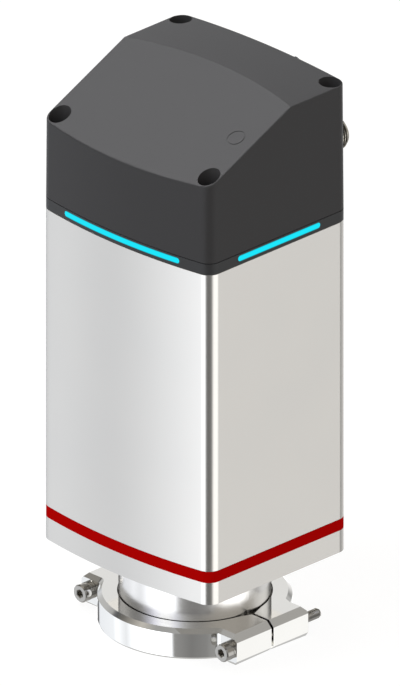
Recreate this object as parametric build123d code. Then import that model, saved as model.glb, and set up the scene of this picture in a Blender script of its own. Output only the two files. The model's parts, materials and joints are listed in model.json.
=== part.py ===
from build123d import *
from math import cos, radians, sin, sqrt, tan
import os

# Electric valve actuator: a stepper motor in a steel sleeve turns a ring of magnets inside a round
# neck, and the ring drags the valve's own magnets round through the valve's closed can. A split
# clamp holds the neck on the valve. Sizes are millimetres.
# The valve axis is Z, the clamp's underside is Z = 0, and the bowed front faces -Y.

# Heights of the stacked parts, from the clamp up
clamp_height = 10.4
neck_exposed = 16.9
plate_thickness = 7.9
band_height = 3.9
sleeve_headroom = 8.5
light_frame_height = 4.1
cover_crown_height = 46.4

# Room between the motor and the housing's outer faces, and the bow of the front
side_room = 10.7
back_room = 4.2
front_room = 7.1
front_bow_radius = 213.0
least_corner = 0.3

# Sleeve and the parts that locate it
sleeve_wall = 1.5
spigot_fit = 0.15
spigot_height = 4.0
band_fit = 0.1
land_wall = 2.3
land_fit = 0.2

# Neck, seat face and its seal
neck_wall = 3.5
flange_width = 2.9
seat_groove_wall = 1.0
seat_seal_radius = 0.9
seat_groove_depth = 1.5

# Clamp
clamp_bore_gap = 0.4
clamp_groove_gap = 0.4
clamp_wall = 3.55
clamp_lip_height = 1.9
clamp_cone_angle = 15.0
clamp_cone_gap = 0.2
clamp_edge_chamfer = 1.4
clamp_split_gap = 1.0
clamp_relief_depth = 1.6
clamp_relief_half_width = 6.0
lug_overhang = 4.05
lug_half_depth = 16.5
lug_end_chamfer = 2.2
lug_root_fillet = 2.0

# Clamp screws, M3.5 with a spring washer
clamp_screw_edge = 3.3
clamp_screw_z = 4.8
clamp_screw_radius = 1.75
clamp_screw_stickout = 8.1
clamp_screw_head_radius = 3.1
clamp_screw_head_height = 3.0
clamp_screw_key = 2.5
clamp_screw_key_depth = 1.6
clamp_screw_tapped_gap = 0.05
clamp_screw_clear_gap = 0.2
clamp_screw_head_gap = 0.05
lock_washer_radius = 3.05
lock_washer_thickness = 1.0
lock_washer_slit = 0.5

# Tie bolts, M4, concentric with the outline's corners
tie_bolt_radius = 2.0
tie_bolt_head_radius = 3.5
tie_bolt_head_height = 4.0
tie_bolt_key = 3.0
tie_bolt_key_depth = 2.0
tie_bolt_clear_gap = 0.3
tie_bolt_engagement = 5.5
tie_bolt_seat_height = 10.0
tapped_gap = 0.05
tapped_runout = 0.8
counterbore_gap = 0.25
counterbore_wall = 0.75

# Light frame, light bars and their board
frame_wall = 2.2
frame_floor = 1.0
frame_floor_width = 6.5
frame_flange = 0.8
frame_lip_height = 3.0
frame_lip_wall = 1.5
frame_tongue_height = 2.0
frame_tongue_wall = 1.2
frame_tongue_fit = 0.2
seam_depth = 0.3
light_bar_height = 2.1
light_bar_rise = 1.1
light_bar_front_gap = 8.0
light_bar_side_gap = 9.0
light_bar_ear_length = 1.5
light_bar_ear_thickness = 0.8
light_board_thickness = 1.0
light_board_width = 6.0
emitter_size = 0.9
emitter_length = 1.8
emitters_front = 8
emitters_side = 6

# Seals of the housing
rim_seal_inset = 1.0
rim_seal_width = 0.9
rim_seal_height = 0.8
sleeve_seal_inset = 0.5
sleeve_seal_width = 0.8
sleeve_seal_height = 0.6

# Cover
cover_wall = 2.5
roof_thickness = 2.5
draft_angle = 0.4
slope_angle = 24.5
slope_foot_height = 29.2
crown_radius = 407.0
cover_edge_radius = 0.5
tower_wall = 1.2
rib_thickness = 1.4
rib_depth = 3.0
rib_spacing = 14.0
ring_mark_x = 30.6
ring_mark_y = -11.6
ring_mark_radius = 3.0
ring_mark_width = 0.35
ring_mark_depth = 0.15

# Round connectors, M12, on the back of the cover
ring_nut_gap = 0.45
connector_height = 18.3
connector_thread_radius = 6.0
connector_reach = 11.3
connector_collar_radius = 7.2
connector_collar_height = 1.8
connector_shank_radius = 5.3
connector_shank_depth = 8.0
connector_bore_radius = 4.75
connector_bore_depth = 7.5
connector_core_radius = 4.2
connector_insert_flange = 1.0
spot_face_margin = 0.4
spot_face_depth = 0.2
pin_recess = 1.3
pin_tail = 2.0
power_pin_radius = 0.5
power_pin_circle = 2.6
power_pin_count = 4
signal_pin_radius = 0.4
signal_pin_circle = 2.7
signal_pin_count = 7
connector_seal_width = 0.9
connector_seal_height = 0.6
ring_nut_radius = 6.4
ring_nut_height = 3.0
ring_nut_slot = 1.5

# Vent plug on the back of the cover
vent_x = 11.5
vent_drop = 4.9
vent_head_radius = 2.7
vent_head_height = 3.7
vent_head_chamfer = 0.7
vent_shank_radius = 1.5

# Stepper motor, 57 mm frame
motor_size = 56.4
motor_front_cap_height = 12.0
motor_flange_height = 5.0
motor_stack_height = 50.0
motor_rear_cap_height = 14.0
motor_mount_inset = 4.63
motor_notch_radius = 4.3
stator_yoke = 5.7
motor_pilot_radius = 19.05
motor_pilot_height = 1.6
motor_pilot_fit = 0.1
motor_pocket_fit = 0.3
motor_screw_radius = 2.0
motor_screw_head_radius = 3.5
motor_screw_head_height = 4.0
motor_screw_length = 10.0
cap_screw_offset = 3.24
cap_screw_radius = 1.5
cap_screw_head_radius = 2.75
cap_screw_head_height = 3.0
cap_screw_gap = 0.1
cap_screw_end = 4.0

# Stator and rotor teeth
air_gap = 0.3
rotor_tooth_count = 50
tooth_depth = 0.7
pole_count = 8
pole_neck_width = 5.0
pole_shoe_thickness = 2.0
pole_shoe_gap = 1.9
coil_width = 9.4
coil_depth = 4.8
coil_shoe_gap = 0.3
coil_overhang = 3.5
coil_fit = 0.1
rotor_magnet_height = 3.0
rotor_magnet_inset = 1.5

# Shaft and its two 608 bearings
shaft_radius = 4.0
shaft_core_radius = 5.5
shaft_flat_depth = 0.7
shaft_end_gap = 0.3
bearing_radius = 11.0
bearing_height = 7.0
bearing_inner_radius = 5.7
bearing_outer_bore = 9.3
bearing_shield_thickness = 0.4
bearing_shield_gap = 0.3
bearing_floor = 0.8
shaft_hole_gap = 2.5
coil_end_gap = 1.0
shaft_end_relief = 0.8

# Magnetic coupling inside the neck
coupling_bore_radius = 15.0
coupling_liner_wall = 0.4
coupling_magnet_thickness = 3.2
coupling_magnet_height = 14.0
coupling_magnet_gap = 5.0
coupling_magnet_count = 8
coupling_cup_wall = 2.3
coupling_cup_depth = 16.0
coupling_roof = 3.0
coupling_hub_radius = 10.0
coupling_hub_height = 7.0
coupling_hub_clearance = 1.5
coupling_hub_gap = 1.1
coupling_neck_clearance = 4.0
coupling_gap = 0.6
set_screw_radius = 2.0
set_screw_gap = 0.3

# Electronics above the motor
board_side_room = 7.8
board_end_room = 5.8
board_thickness = 1.6
board_bolt_gap = 1.2
driver_board_rise = 6.8
standoff_side_edge = 7.0
standoff_end_edge = 11.5
standoff_across = 5.5
standoff_bore_gap = 0.15
board_screw_engagement = 5.0
board_screw_radius = 1.5
board_screw_head_radius = 2.75
board_screw_head_height = 2.0
capacitor_radius = 5.0
capacitor_height = 12.5
capacitor_spacing = 12.0
capacitor_edge = 8.5
capacitor_headroom = 3.9
driver_chip_size = 8.0
driver_chip_height = 1.6
driver_chip_spacing = 13.0
driver_chip_y = 2.0
control_chip_size = 12.0
board_link_length = 24.0
board_link_width = 5.0
board_link_edge = 1.5
lead_socket_length = 10.0
lead_socket_width = 6.0
lead_socket_height = 6.0
lead_socket_gap = 1.25
motor_lead_radius = 0.6
motor_lead_spacing = 2.0
motor_lead_count = 4
motor_lead_edge = 4.2
connector_lead_radius = 1.5
connector_lead_bend = 10.0

# Levels and places that follow from the sizes above
corner_radius = tie_bolt_head_radius + counterbore_gap + counterbore_wall
counterbore_radius = tie_bolt_head_radius + counterbore_gap
half_width = motor_size / 2 + side_room
back_reach = motor_size / 2 + back_room
front_reach = motor_size / 2 + front_room
coupling_magnet_outer = coupling_bore_radius + coupling_liner_wall + coupling_magnet_thickness
coupling_cup_radius = coupling_magnet_outer + coupling_cup_wall
neck_bore_radius = coupling_cup_radius + coupling_gap
neck_radius = neck_bore_radius + neck_wall
flange_radius = neck_radius + flange_width
seat_groove_inner = neck_bore_radius + seat_groove_wall
clamp_bore_radius = neck_radius + clamp_bore_gap
clamp_groove_radius = flange_radius + clamp_groove_gap
clamp_radius = clamp_groove_radius + clamp_wall
lug_reach = clamp_radius + lug_overhang
clamp_screw_x = lug_reach - clamp_screw_edge
clamp_screw_seat = -lug_half_depth - lock_washer_thickness
clamp_screw_length = 2 * lug_half_depth + lock_washer_thickness + clamp_screw_stickout
seat_level = clamp_height / 2
plate_bottom = clamp_height + neck_exposed
plate_top = plate_bottom + plate_thickness
sleeve_bottom = plate_top + band_height
stack_bottom = plate_top + motor_front_cap_height
stack_top = stack_bottom + motor_stack_height
motor_top = stack_top + motor_rear_cap_height
driver_board_bottom = motor_top + driver_board_rise
driver_board_top = driver_board_bottom + board_thickness
control_board_bottom = driver_board_top + capacitor_height + capacitor_headroom
control_board_top = control_board_bottom + board_thickness
sleeve_top = control_board_top + sleeve_headroom
cover_foot = sleeve_top + light_frame_height
cover_top = cover_foot + cover_crown_height
spigot_inset = sleeve_wall + spigot_fit
land_radius = tie_bolt_radius + tie_bolt_clear_gap + land_wall
bolt_x = half_width - corner_radius
bolt_y = back_reach - corner_radius
tie_bolt_seat = cover_foot + tie_bolt_seat_height
tower_radius = counterbore_radius + tower_wall
motor_mount = motor_size / 2 - motor_mount_inset
slot_radius = motor_size / 2 - stator_yoke
coil_outer = sqrt(slot_radius**2 - (coil_width / 2) ** 2) - coil_fit
coil_inner = coil_outer - coil_depth
rotor_radius = coil_inner - coil_shoe_gap - pole_shoe_thickness - air_gap
rotor_magnet_radius = rotor_radius - rotor_magnet_inset
cap_screw_place = (slot_radius + cap_screw_offset) / sqrt(2)
lower_bearing_bottom = plate_top + bearing_floor
upper_bearing_bottom = stack_top + coil_overhang + coil_end_gap
coupling_hub_top = plate_top - motor_pilot_height - coupling_hub_gap
coupling_roof_top = coupling_hub_top - coupling_hub_height
coupling_roof_bottom = coupling_roof_top - coupling_roof
coupling_cup_mouth = coupling_roof_bottom - coupling_cup_depth
light_bar_front_half = bolt_x - light_bar_front_gap
light_bar_side_half = bolt_y - light_bar_side_gap
light_inset = frame_wall + light_bar_ear_thickness + emitter_size
connector_x = bolt_x - tower_radius - ring_nut_gap - ring_nut_radius
connector_z = cover_foot + connector_height
vent_z = cover_top - vent_drop
board_half_x = half_width - board_side_room
board_half_y = back_reach - board_end_room
standoff_x = board_half_x - standoff_side_edge
standoff_y = board_half_y - standoff_end_edge
capacitor_y = capacitor_edge - board_half_y
board_link_y = board_half_y - board_link_edge - board_link_width
lead_socket_y = standoff_y - board_screw_head_radius - lead_socket_gap - lead_socket_width / 2
motor_lead_y = motor_size / 2 - motor_lead_edge
far = 4 * half_width

BASE = (Align.CENTER, Align.CENTER, Align.MIN)


def four(x, y):
    """The four places (+-x, +-y)."""
    return [(sx * x, sy * y) for sx in (-1, 1) for sy in (-1, 1)]


def rod(radius, bottom, top, x=0.0, y=0.0):
    """Upright cylinder between two levels."""
    return Pos(x, y, bottom) * Cylinder(radius, top - bottom, align=BASE)


def rods(places, radius, bottom, top):
    """Upright cylinders of one size at several places."""
    return Part() + [rod(radius, bottom, top, x, y) for x, y in places]


def tube(outer, inner, bottom, top):
    """Upright tube round the valve axis."""
    return rod(outer, bottom, top) - rod(inner, bottom, top)


def block(x_low, x_high, y_low, y_high, z_low, z_high):
    """Box between two corners."""
    size = (x_high - x_low, y_high - y_low, z_high - z_low)
    middle = ((x_low + x_high) / 2, (y_low + y_high) / 2, (z_low + z_high) / 2)
    return Pos(*middle) * Box(*size)


def turned(points):
    """Solid of revolution about Z from a closed profile of (radius, height) points."""
    profile = make_face(Plane.XZ * Polyline(*points, close=True))
    return revolve(profile, axis=Axis.Z)


def outline(inset):
    """Plan outline moved inwards by an inset, as a face at Z = 0."""
    side = half_width - inset
    back = back_reach - inset
    bow = front_bow_radius - inset
    bow_centre = front_bow_radius - front_reach
    shoulder = bow_centre - sqrt(bow**2 - side**2)
    front = ThreePointArc((-side, shoulder), (0, bow_centre - bow), (side, shoulder))
    rest = Polyline((side, shoulder), (side, back), (-side, back), (-side, shoulder))
    face = make_face([*front.edges(), *rest.edges()])
    return fillet(face.vertices(), radius=max(corner_radius - inset, least_corner))


def prism(inset, bottom, top):
    """Upright block with the plan outline."""
    return extrude(Pos(0, 0, bottom) * outline(inset), amount=top - bottom, dir=(0, 0, 1))


def wall(outer_inset, inner_inset, bottom, top):
    """Upright wall that follows the plan outline."""
    return prism(outer_inset, bottom, top) - prism(inner_inset, bottom, top)


def backwards(x, y, z):
    """Place on the back of the cover with its own Z pointing out along +Y."""
    return Pos(x, y, z) * Rot(-90, 0, 0)


def socket_screw(radius, length, head_radius, head_height, key, key_depth):
    """Socket head screw along Z: head above Z = 0, shank below."""
    head = rod(head_radius, 0, head_height)
    hexagon = RegularPolygon(key / 2, 6, major_radius=False)
    socket = extrude(Pos(0, 0, head_height - key_depth) * hexagon, amount=key_depth)
    return head + rod(radius, -length, 0) - socket


# Housing


def neck():
    """Turned neck with its clamp flange, seat face and seal groove, welded to the plate."""
    slope = tan(radians(clamp_cone_angle))
    cone_top = clamp_height - clamp_lip_height - clamp_cone_gap
    groove_outer = seat_groove_inner + 2 * seat_seal_radius
    groove_top = seat_level + seat_groove_depth
    return turned([
        (neck_bore_radius, seat_level),
        (seat_groove_inner, seat_level),
        (seat_groove_inner, groove_top),
        (groove_outer, groove_top),
        (groove_outer, seat_level),
        (flange_radius, seat_level),
        (flange_radius, cone_top - (flange_radius - clamp_bore_radius) * slope),
        (neck_radius, cone_top - (neck_radius - clamp_bore_radius) * slope),
        (neck_radius, plate_bottom),
        (neck_bore_radius, plate_bottom),
    ])


def base_plate():
    """Plate with the motor's pilot bore, and the spigot that locates the sleeve."""
    spigot_top = sleeve_bottom + spigot_height
    pocket = motor_size / 2 + motor_pocket_fit
    spigot = prism(spigot_inset, plate_top, spigot_top)
    spigot -= block(-pocket, pocket, -pocket, far, plate_top, spigot_top)
    spigot -= rods(four(bolt_x, bolt_y), land_radius + land_fit, plate_top, spigot_top)
    body = prism(0, plate_bottom, plate_top) + spigot
    neck_roof = coupling_roof_top + coupling_neck_clearance
    pilot_bottom = plate_top - motor_pilot_height
    body -= rod(neck_bore_radius, plate_bottom, neck_roof)
    body -= rod(coupling_hub_radius + coupling_hub_clearance, neck_roof, plate_top)
    body -= rod(motor_pilot_radius + motor_pilot_fit, pilot_bottom, plate_top)
    bolt_hole_bottom = plate_top - tie_bolt_engagement - tapped_runout
    body -= rods(four(bolt_x, bolt_y), tie_bolt_radius + tapped_gap, bolt_hole_bottom, plate_top)
    screw_bottom = plate_top + motor_flange_height - motor_screw_length - tapped_runout
    places = four(motor_mount, motor_mount)
    return body - rods(places, motor_screw_radius + tapped_gap, screw_bottom, plate_top)


def neck_seal():
    """Eight-sided seal ring in the seat face."""
    level = seat_level + seat_groove_depth - seat_seal_radius
    middle = seat_groove_inner + seat_seal_radius
    section = RegularPolygon(seat_seal_radius, 8, major_radius=False, rotation=22.5)
    return revolve(Plane.XZ * Pos(middle, level) * section, axis=Axis.Z)


def trim_band():
    """Thick gasket between the plate and the sleeve, with lands round the tie bolts."""
    lands = rods(four(bolt_x, bolt_y), land_radius, plate_top, sleeve_bottom)
    lands &= prism(0, plate_top, sleeve_bottom)
    band = wall(0, spigot_inset - band_fit, plate_top, sleeve_bottom) + lands
    hole = tie_bolt_radius + tie_bolt_clear_gap
    return band - rods(four(bolt_x, bolt_y), hole, plate_top, sleeve_bottom)


def housing_sleeve():
    """Steel sleeve with a bowed front."""
    return wall(0, sleeve_wall, sleeve_bottom, sleeve_top)


def tie_bolts():
    """Four long bolts that pull the cover, frame, sleeve and band down on the plate."""
    length = tie_bolt_seat - plate_top + tie_bolt_engagement
    bolt = socket_screw(
        tie_bolt_radius,
        length,
        tie_bolt_head_radius,
        tie_bolt_head_height,
        tie_bolt_key,
        tie_bolt_key_depth,
    )
    return Part() + [Pos(x, y, tie_bolt_seat) * bolt for x, y in four(bolt_x, bolt_y)]


# Light frame


def light_slots(outer_inset, inner_inset, extra):
    """The light bars between two insets, each longer by an extra at both ends."""
    middle = sleeve_top + light_bar_rise + light_bar_height / 2
    front = Plane.XZ * SlotOverall(2 * (light_bar_front_half + extra), light_bar_height)
    side = Plane.YZ * SlotOverall(2 * (light_bar_side_half + extra), light_bar_height)
    front_slot = extrude(Pos(0, 0, middle) * front, amount=far, dir=(0, -1, 0))
    side_slot = extrude(Pos(0, 0, middle) * side, amount=far, both=True)
    return (front_slot + side_slot) & wall(outer_inset, inner_inset, sleeve_top, cover_foot)


def light_frame():
    """Dark frame between sleeve and cover: wall, floor, lip into the sleeve, tongue into the cover."""
    lip_inner = spigot_inset + frame_lip_wall
    tongue_outer = cover_wall + frame_tongue_fit
    tongue_inner = tongue_outer + frame_tongue_wall
    flange_bottom = cover_foot - frame_flange
    lip_bottom = sleeve_top - frame_lip_height
    tongue_top = cover_foot + frame_tongue_height
    corners = four(bolt_x, bolt_y)
    body = wall(0, frame_wall, sleeve_top, cover_foot - seam_depth)
    body += wall(seam_depth, tongue_inner, flange_bottom, cover_foot)
    body += wall(0, frame_floor_width, sleeve_top, sleeve_top + frame_floor)
    body += rods(corners, land_radius, sleeve_top, cover_foot) & prism(seam_depth, sleeve_top, cover_foot)
    lip = wall(spigot_inset, lip_inner, lip_bottom, sleeve_top)
    tongue = wall(tongue_outer, tongue_inner, cover_foot, tongue_top)
    body += lip - rods(corners, land_radius, lip_bottom, sleeve_top)
    body += tongue - rods(corners, tower_radius + land_fit, cover_foot, tongue_top)
    body -= light_slots(0, frame_wall, 0)
    body -= sleeve_seal()
    return body - rods(corners, tie_bolt_radius + tie_bolt_clear_gap, sleeve_top, cover_foot)


def sleeve_seal():
    """Flat seal ring in the underside of the light frame, on the sleeve's top edge."""
    seal_inner = sleeve_seal_inset + sleeve_seal_width
    return wall(sleeve_seal_inset, seal_inner, sleeve_top, sleeve_top + sleeve_seal_height)


def light_bars():
    """Light guides flush with the frame's outer faces, with ears behind the wall at both ends."""
    ear_inset = frame_wall + light_bar_ear_thickness
    return light_slots(0, frame_wall, 0) + light_slots(frame_wall, ear_inset, light_bar_ear_length)


def light_board():
    """Ring-shaped circuit board on the light frame's floor."""
    bottom = sleeve_top + frame_floor
    top = bottom + light_board_thickness
    ring = wall(light_inset, light_inset + light_board_width, bottom, top)
    return ring - rods(four(bolt_x, bolt_y), land_radius + land_fit, bottom, top)


def light_emitters():
    """Side-looking light emitters on the board, facing the bars."""
    bottom = sleeve_top + frame_floor + light_board_thickness
    top = bottom + emitter_size
    half = emitter_length / 2
    front_pitch = 2 * light_bar_front_half / emitters_front
    side_pitch = 2 * light_bar_side_half / emitters_side
    pieces = []
    for i in range(emitters_front):
        x = (i - (emitters_front - 1) / 2) * front_pitch
        bow = front_bow_radius - light_inset
        y = front_bow_radius - front_reach - sqrt(bow**2 - x**2) + emitter_size / 2
        pieces.append(block(x - half, x + half, y, y + emitter_size, bottom, top))
    for i in range(emitters_side):
        y = (i - (emitters_side - 1) / 2) * side_pitch
        for side in (-1, 1):
            x = side * (half_width - light_inset - emitter_size)
            x_low = x - emitter_size / 2
            pieces.append(block(x_low, x_low + emitter_size, y - half, y + half, bottom, top))
    return Part() + pieces


# Cover


def slope_level(y):
    """Height of the sloped front plane at a place along Y."""
    return cover_foot + slope_foot_height + (y + bolt_y) * tan(radians(slope_angle))


def back_face(z):
    """Y of the cover's back face at a height; it leans in with the draft."""
    return back_reach - (z - cover_foot) * tan(radians(draft_angle))


def drafted(inset):
    """Block with the plan outline whose walls lean in with the draft."""
    lean = cover_crown_height * tan(radians(draft_angle))
    low = Pos(0, 0, cover_foot) * outline(inset)
    high = Pos(0, 0, cover_top) * outline(inset + lean)
    return loft([low, high], ruled=True)


def under_roof(drop):
    """Space below the sloped plane and the arched crown, both moved down by a thickness."""
    sunk = drop / cos(radians(slope_angle))
    points = [
        (-far, 0),
        (far, 0),
        (far, slope_level(far) - sunk),
        (-far, slope_level(-far) - sunk),
    ]
    wedge = extrude(make_face(Plane.YZ * Polyline(*points, close=True)), amount=far, both=True)
    crown = Cylinder(crown_radius - drop, 2 * far)
    return wedge & (Pos(0, 0, cover_top - crown_radius) * Rot(90, 0, 0) * crown)


def ring_mark():
    """Shallow round groove on the sloped face."""
    angle = radians(slope_angle)
    origin = (ring_mark_x, ring_mark_y, slope_level(ring_mark_y))
    plane = Plane(origin=origin, x_dir=(1, 0, 0), z_dir=(0, -sin(angle), cos(angle)))
    outer = Cylinder(ring_mark_radius + ring_mark_width / 2, 2 * ring_mark_depth)
    inner = Cylinder(ring_mark_radius - ring_mark_width / 2, 2 * ring_mark_depth)
    return plane * (outer - inner)


def connector_seat():
    """Y of the spot faces that the connector collars sit on."""
    spot = connector_collar_radius + spot_face_margin
    return back_face(connector_z + spot) - spot_face_depth


def rounded_block():
    """Outer form of the cover as a solid, with rounded edges round the roof."""
    body = drafted(0) & under_roof(0)
    roof_edges = [edge for edge in body.edges() if edge.bounding_box().min.Z > tie_bolt_seat]
    return fillet(roof_edges, radius=cover_edge_radius)


def top_cover():
    """Moulded cover: drafted walls, sloped front, arched crown, bolt towers and roof ribs."""
    body = rounded_block()
    towers = rods(four(bolt_x, bolt_y), tower_radius, cover_foot, cover_top)
    cavity = drafted(cover_wall) & under_roof(roof_thickness)
    rib_zone = cavity - under_roof(roof_thickness + rib_depth)
    half = rib_thickness / 2
    slab = block(-half, half, -far, far, cover_foot, cover_top)
    body -= cavity - towers
    body += rib_zone & [Pos(x, 0, 0) * slab for x in (-rib_spacing, 0, rib_spacing)]
    hole = tie_bolt_radius + tie_bolt_clear_gap
    body -= rods(four(bolt_x, bolt_y), hole, cover_foot, tie_bolt_seat)
    body -= rods(four(bolt_x, bolt_y), counterbore_radius, tie_bolt_seat, cover_top)
    groove_inner = rim_seal_inset + rim_seal_width
    body -= wall(rim_seal_inset, groove_inner, cover_foot, cover_foot + rim_seal_height)
    for x in (-connector_x, connector_x):
        seat = backwards(x, connector_seat(), connector_z)
        body -= seat * rod(connector_collar_radius + spot_face_margin, 0, far)
        body -= seat * rod(connector_shank_radius + land_fit, -far / 4, far)
    vent = backwards(vent_x, back_face(vent_z - vent_head_radius), vent_z)
    body -= vent * rod(vent_shank_radius, -2 * cover_wall, far)
    return body - ring_mark()


def cover_seal():
    """Seal ring in the groove of the cover's rim."""
    groove_inner = rim_seal_inset + rim_seal_width
    return wall(rim_seal_inset, groove_inner, cover_foot, cover_foot + rim_seal_height)


def vent_plug():
    """Small round vent pressed into the back of the cover near the top."""
    plug = turned([
        (0, -cover_wall - vent_head_chamfer),
        (vent_shank_radius, -cover_wall - vent_head_chamfer),
        (vent_shank_radius, 0),
        (vent_head_radius, 0),
        (vent_head_radius, vent_head_height - vent_head_chamfer),
        (vent_head_radius - vent_head_chamfer, vent_head_height),
        (0, vent_head_height),
    ])
    return backwards(vent_x, back_face(vent_z - vent_head_radius), vent_z) * plug


# Connectors


def connector_body(x):
    """Round connector shell: threaded barrel, collar, and shank through the cover's wall."""
    bore_floor = connector_reach - connector_bore_depth
    seal_inner = connector_shank_radius + land_fit
    shell = rod(connector_thread_radius, 0, connector_reach)
    shell += rod(connector_collar_radius, 0, connector_collar_height)
    shell += rod(connector_shank_radius, -connector_shank_depth, 0)
    shell -= rod(connector_core_radius, -connector_shank_depth, bore_floor)
    shell -= rod(connector_bore_radius, bore_floor, connector_reach)
    shell -= tube(seal_inner + connector_seal_width, seal_inner, 0, connector_seal_height)
    return backwards(x, connector_seat(), connector_z) * shell


def connector_seal(x):
    """Seal ring in the groove under the collar."""
    inner = connector_shank_radius + land_fit
    ring = tube(inner + connector_seal_width, inner, 0, connector_seal_height)
    return backwards(x, connector_seat(), connector_z) * ring


def pin_places(count, circle, centre_pin):
    """Places of contact pins on a circle, with one in the middle where the layout has it."""
    step = 360 / count
    places = [(circle * cos(radians(i * step)), circle * sin(radians(i * step))) for i in range(count)]
    return places + [(0, 0)] if centre_pin else places


def connector_insert(x, places, pin_radius):
    """Contact carrier that fills the shell's core, with a hole for each pin."""
    bore_floor = connector_reach - connector_bore_depth
    carrier = rod(connector_core_radius, -connector_shank_depth, bore_floor)
    carrier += rod(connector_bore_radius, bore_floor, bore_floor + connector_insert_flange)
    carrier -= rods(places, pin_radius, -far / 4, far / 4)
    return backwards(x, connector_seat(), connector_z) * carrier


def connector_pins(x, places, pin_radius):
    """Contact pins through the carrier."""
    pins = rods(places, pin_radius, -connector_shank_depth - pin_tail, connector_reach - pin_recess)
    return backwards(x, connector_seat(), connector_z) * pins


def ring_nut(x):
    """Slotted ring nut on the shank, against the inside of the cover's back wall."""
    inner_face = back_face(connector_z - ring_nut_radius) - cover_wall
    nut = tube(ring_nut_radius, connector_shank_radius + tapped_gap, -ring_nut_height, 0)
    half = ring_nut_slot / 2
    nut -= block(-half, half, -far, far, -ring_nut_height, -ring_nut_height / 2)
    lowest = back_face(connector_z + ring_nut_radius) - cover_wall
    return backwards(x, min(inner_face, lowest), connector_z) * nut


# Motor


def motor_section():
    """Cross-section of the motor above its flange, with a notch over each mounting screw."""
    place = motor_mount - motor_notch_radius + motor_size / 2
    notch = RectangleRounded(motor_size, motor_size, motor_notch_radius)
    return Rectangle(motor_size, motor_size) - [Pos(x, y) * notch for x, y in four(place, place)]


def lift(sketch, bottom, top):
    """Extrude a plan sketch between two levels."""
    return extrude(Pos(0, 0, bottom) * sketch, amount=top - bottom, dir=(0, 0, 1))


def motor_front_cap():
    """Motor flange with pilot boss, lower bearing seat and room for the coil ends."""
    mounts = four(motor_mount, motor_mount)
    bearing_top = lower_bearing_bottom + bearing_height
    pilot_bottom = plate_top - motor_pilot_height
    flange_top = plate_top + motor_flange_height
    body = lift(Rectangle(motor_size, motor_size), plate_top, flange_top)
    body += lift(motor_section(), flange_top, stack_bottom)
    body += rod(motor_pilot_radius, pilot_bottom, plate_top)
    body -= rod(shaft_radius + shaft_hole_gap, pilot_bottom, lower_bearing_bottom)
    body -= rod(bearing_radius, lower_bearing_bottom, bearing_top)
    body -= rod(slot_radius + coil_end_gap, bearing_top, stack_bottom)
    body -= rods(mounts, motor_screw_radius + tie_bolt_clear_gap, plate_top, flange_top)
    places = four(cap_screw_place, cap_screw_place)
    cap_screw_bottom = stack_bottom - cap_screw_end - tapped_runout
    return body - rods(places, cap_screw_radius + tapped_gap, cap_screw_bottom, stack_bottom)


def motor_rear_cap():
    """Rear cap with the upper bearing seat and recessed cap screw heads."""
    bearing_top = upper_bearing_bottom + bearing_height
    places = four(cap_screw_place, cap_screw_place)
    head_floor = motor_top - cap_screw_head_height
    standoffs = four(standoff_x, standoff_y)
    tapped_bottom = motor_top - board_screw_engagement - tapped_runout
    body = lift(motor_section(), stack_top, motor_top)
    body -= rod(slot_radius + coil_end_gap, stack_top, upper_bearing_bottom)
    body -= rod(bearing_radius, upper_bearing_bottom, bearing_top)
    body -= rod(shaft_radius + shaft_hole_gap, bearing_top, bearing_top + shaft_end_relief)
    body -= rods(places, cap_screw_radius + cap_screw_gap, stack_top, motor_top)
    body -= rods(places, cap_screw_head_radius + cap_screw_gap, head_floor, motor_top)
    return body - rods(standoffs, board_screw_radius + tapped_gap, tapped_bottom, motor_top)


def motor_stator():
    """Laminated stack: eight poles whose shoes carry the rotor's tooth pitch."""
    bore = rotor_radius + air_gap
    shoe_radius = bore + pole_shoe_thickness
    pole_step = 360 / pole_count
    tooth_step = 360 / rotor_tooth_count
    groove_width = radians(tooth_step / 2) * bore
    neck_length = slot_radius - bore
    neck = Pos(bore + neck_length / 2 + tooth_depth, 0) * Rectangle(neck_length, pole_neck_width)
    gap = Pos(bore, 0) * Rectangle(3 * pole_shoe_thickness, pole_shoe_gap)
    groove = Pos(bore, 0) * Rectangle(2 * tooth_depth, groove_width)
    poles = range(pole_count)
    shoes = Circle(shoe_radius) - Circle(bore)
    shoes -= [Rot(0, 0, (i + 0.5) * pole_step) * gap for i in poles]
    teeth = [Rot(0, 0, i * pole_step + j * tooth_step) * groove for i in poles for j in range(-2, 3)]
    section = motor_section() - Circle(slot_radius)
    section += [Rot(0, 0, i * pole_step) * neck for i in poles]
    section += shoes
    section -= teeth
    screw_hole = Circle(cap_screw_radius + cap_screw_gap)
    section -= [Pos(x, y) * screw_hole for x, y in four(cap_screw_place, cap_screw_place)]
    return lift(section, stack_bottom, stack_top)


def motor_coils():
    """One winding round each pole neck."""
    low = stack_bottom - coil_overhang
    high = stack_top + coil_overhang
    half = coil_width / 2
    neck = pole_neck_width / 2 + coil_fit
    coil = block(coil_inner, coil_outer, -half, half, low, high)
    coil -= block(0, far, -neck, neck, stack_bottom - coil_fit, stack_top + coil_fit)
    return Part() + [Rot(0, 0, i * 360 / pole_count) * coil for i in range(pole_count)]


def motor_cap_screws():
    """Four long screws that hold the caps on the stack."""
    seat = motor_top - cap_screw_head_height
    length = seat - stack_bottom + cap_screw_end
    screw = socket_screw(
        cap_screw_radius,
        length,
        cap_screw_head_radius,
        cap_screw_head_height,
        clamp_screw_key,
        clamp_screw_key_depth,
    )
    return Part() + [Pos(x, y, seat) * screw for x, y in four(cap_screw_place, cap_screw_place)]


def motor_mount_screws():
    """Four screws through the motor's flange into the plate."""
    seat = plate_top + motor_flange_height
    screw = socket_screw(
        motor_screw_radius,
        motor_screw_length,
        motor_screw_head_radius,
        motor_screw_head_height,
        tie_bolt_key,
        tie_bolt_key_depth,
    )
    return Part() + [Pos(x, y, seat) * screw for x, y in four(motor_mount, motor_mount)]


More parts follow.
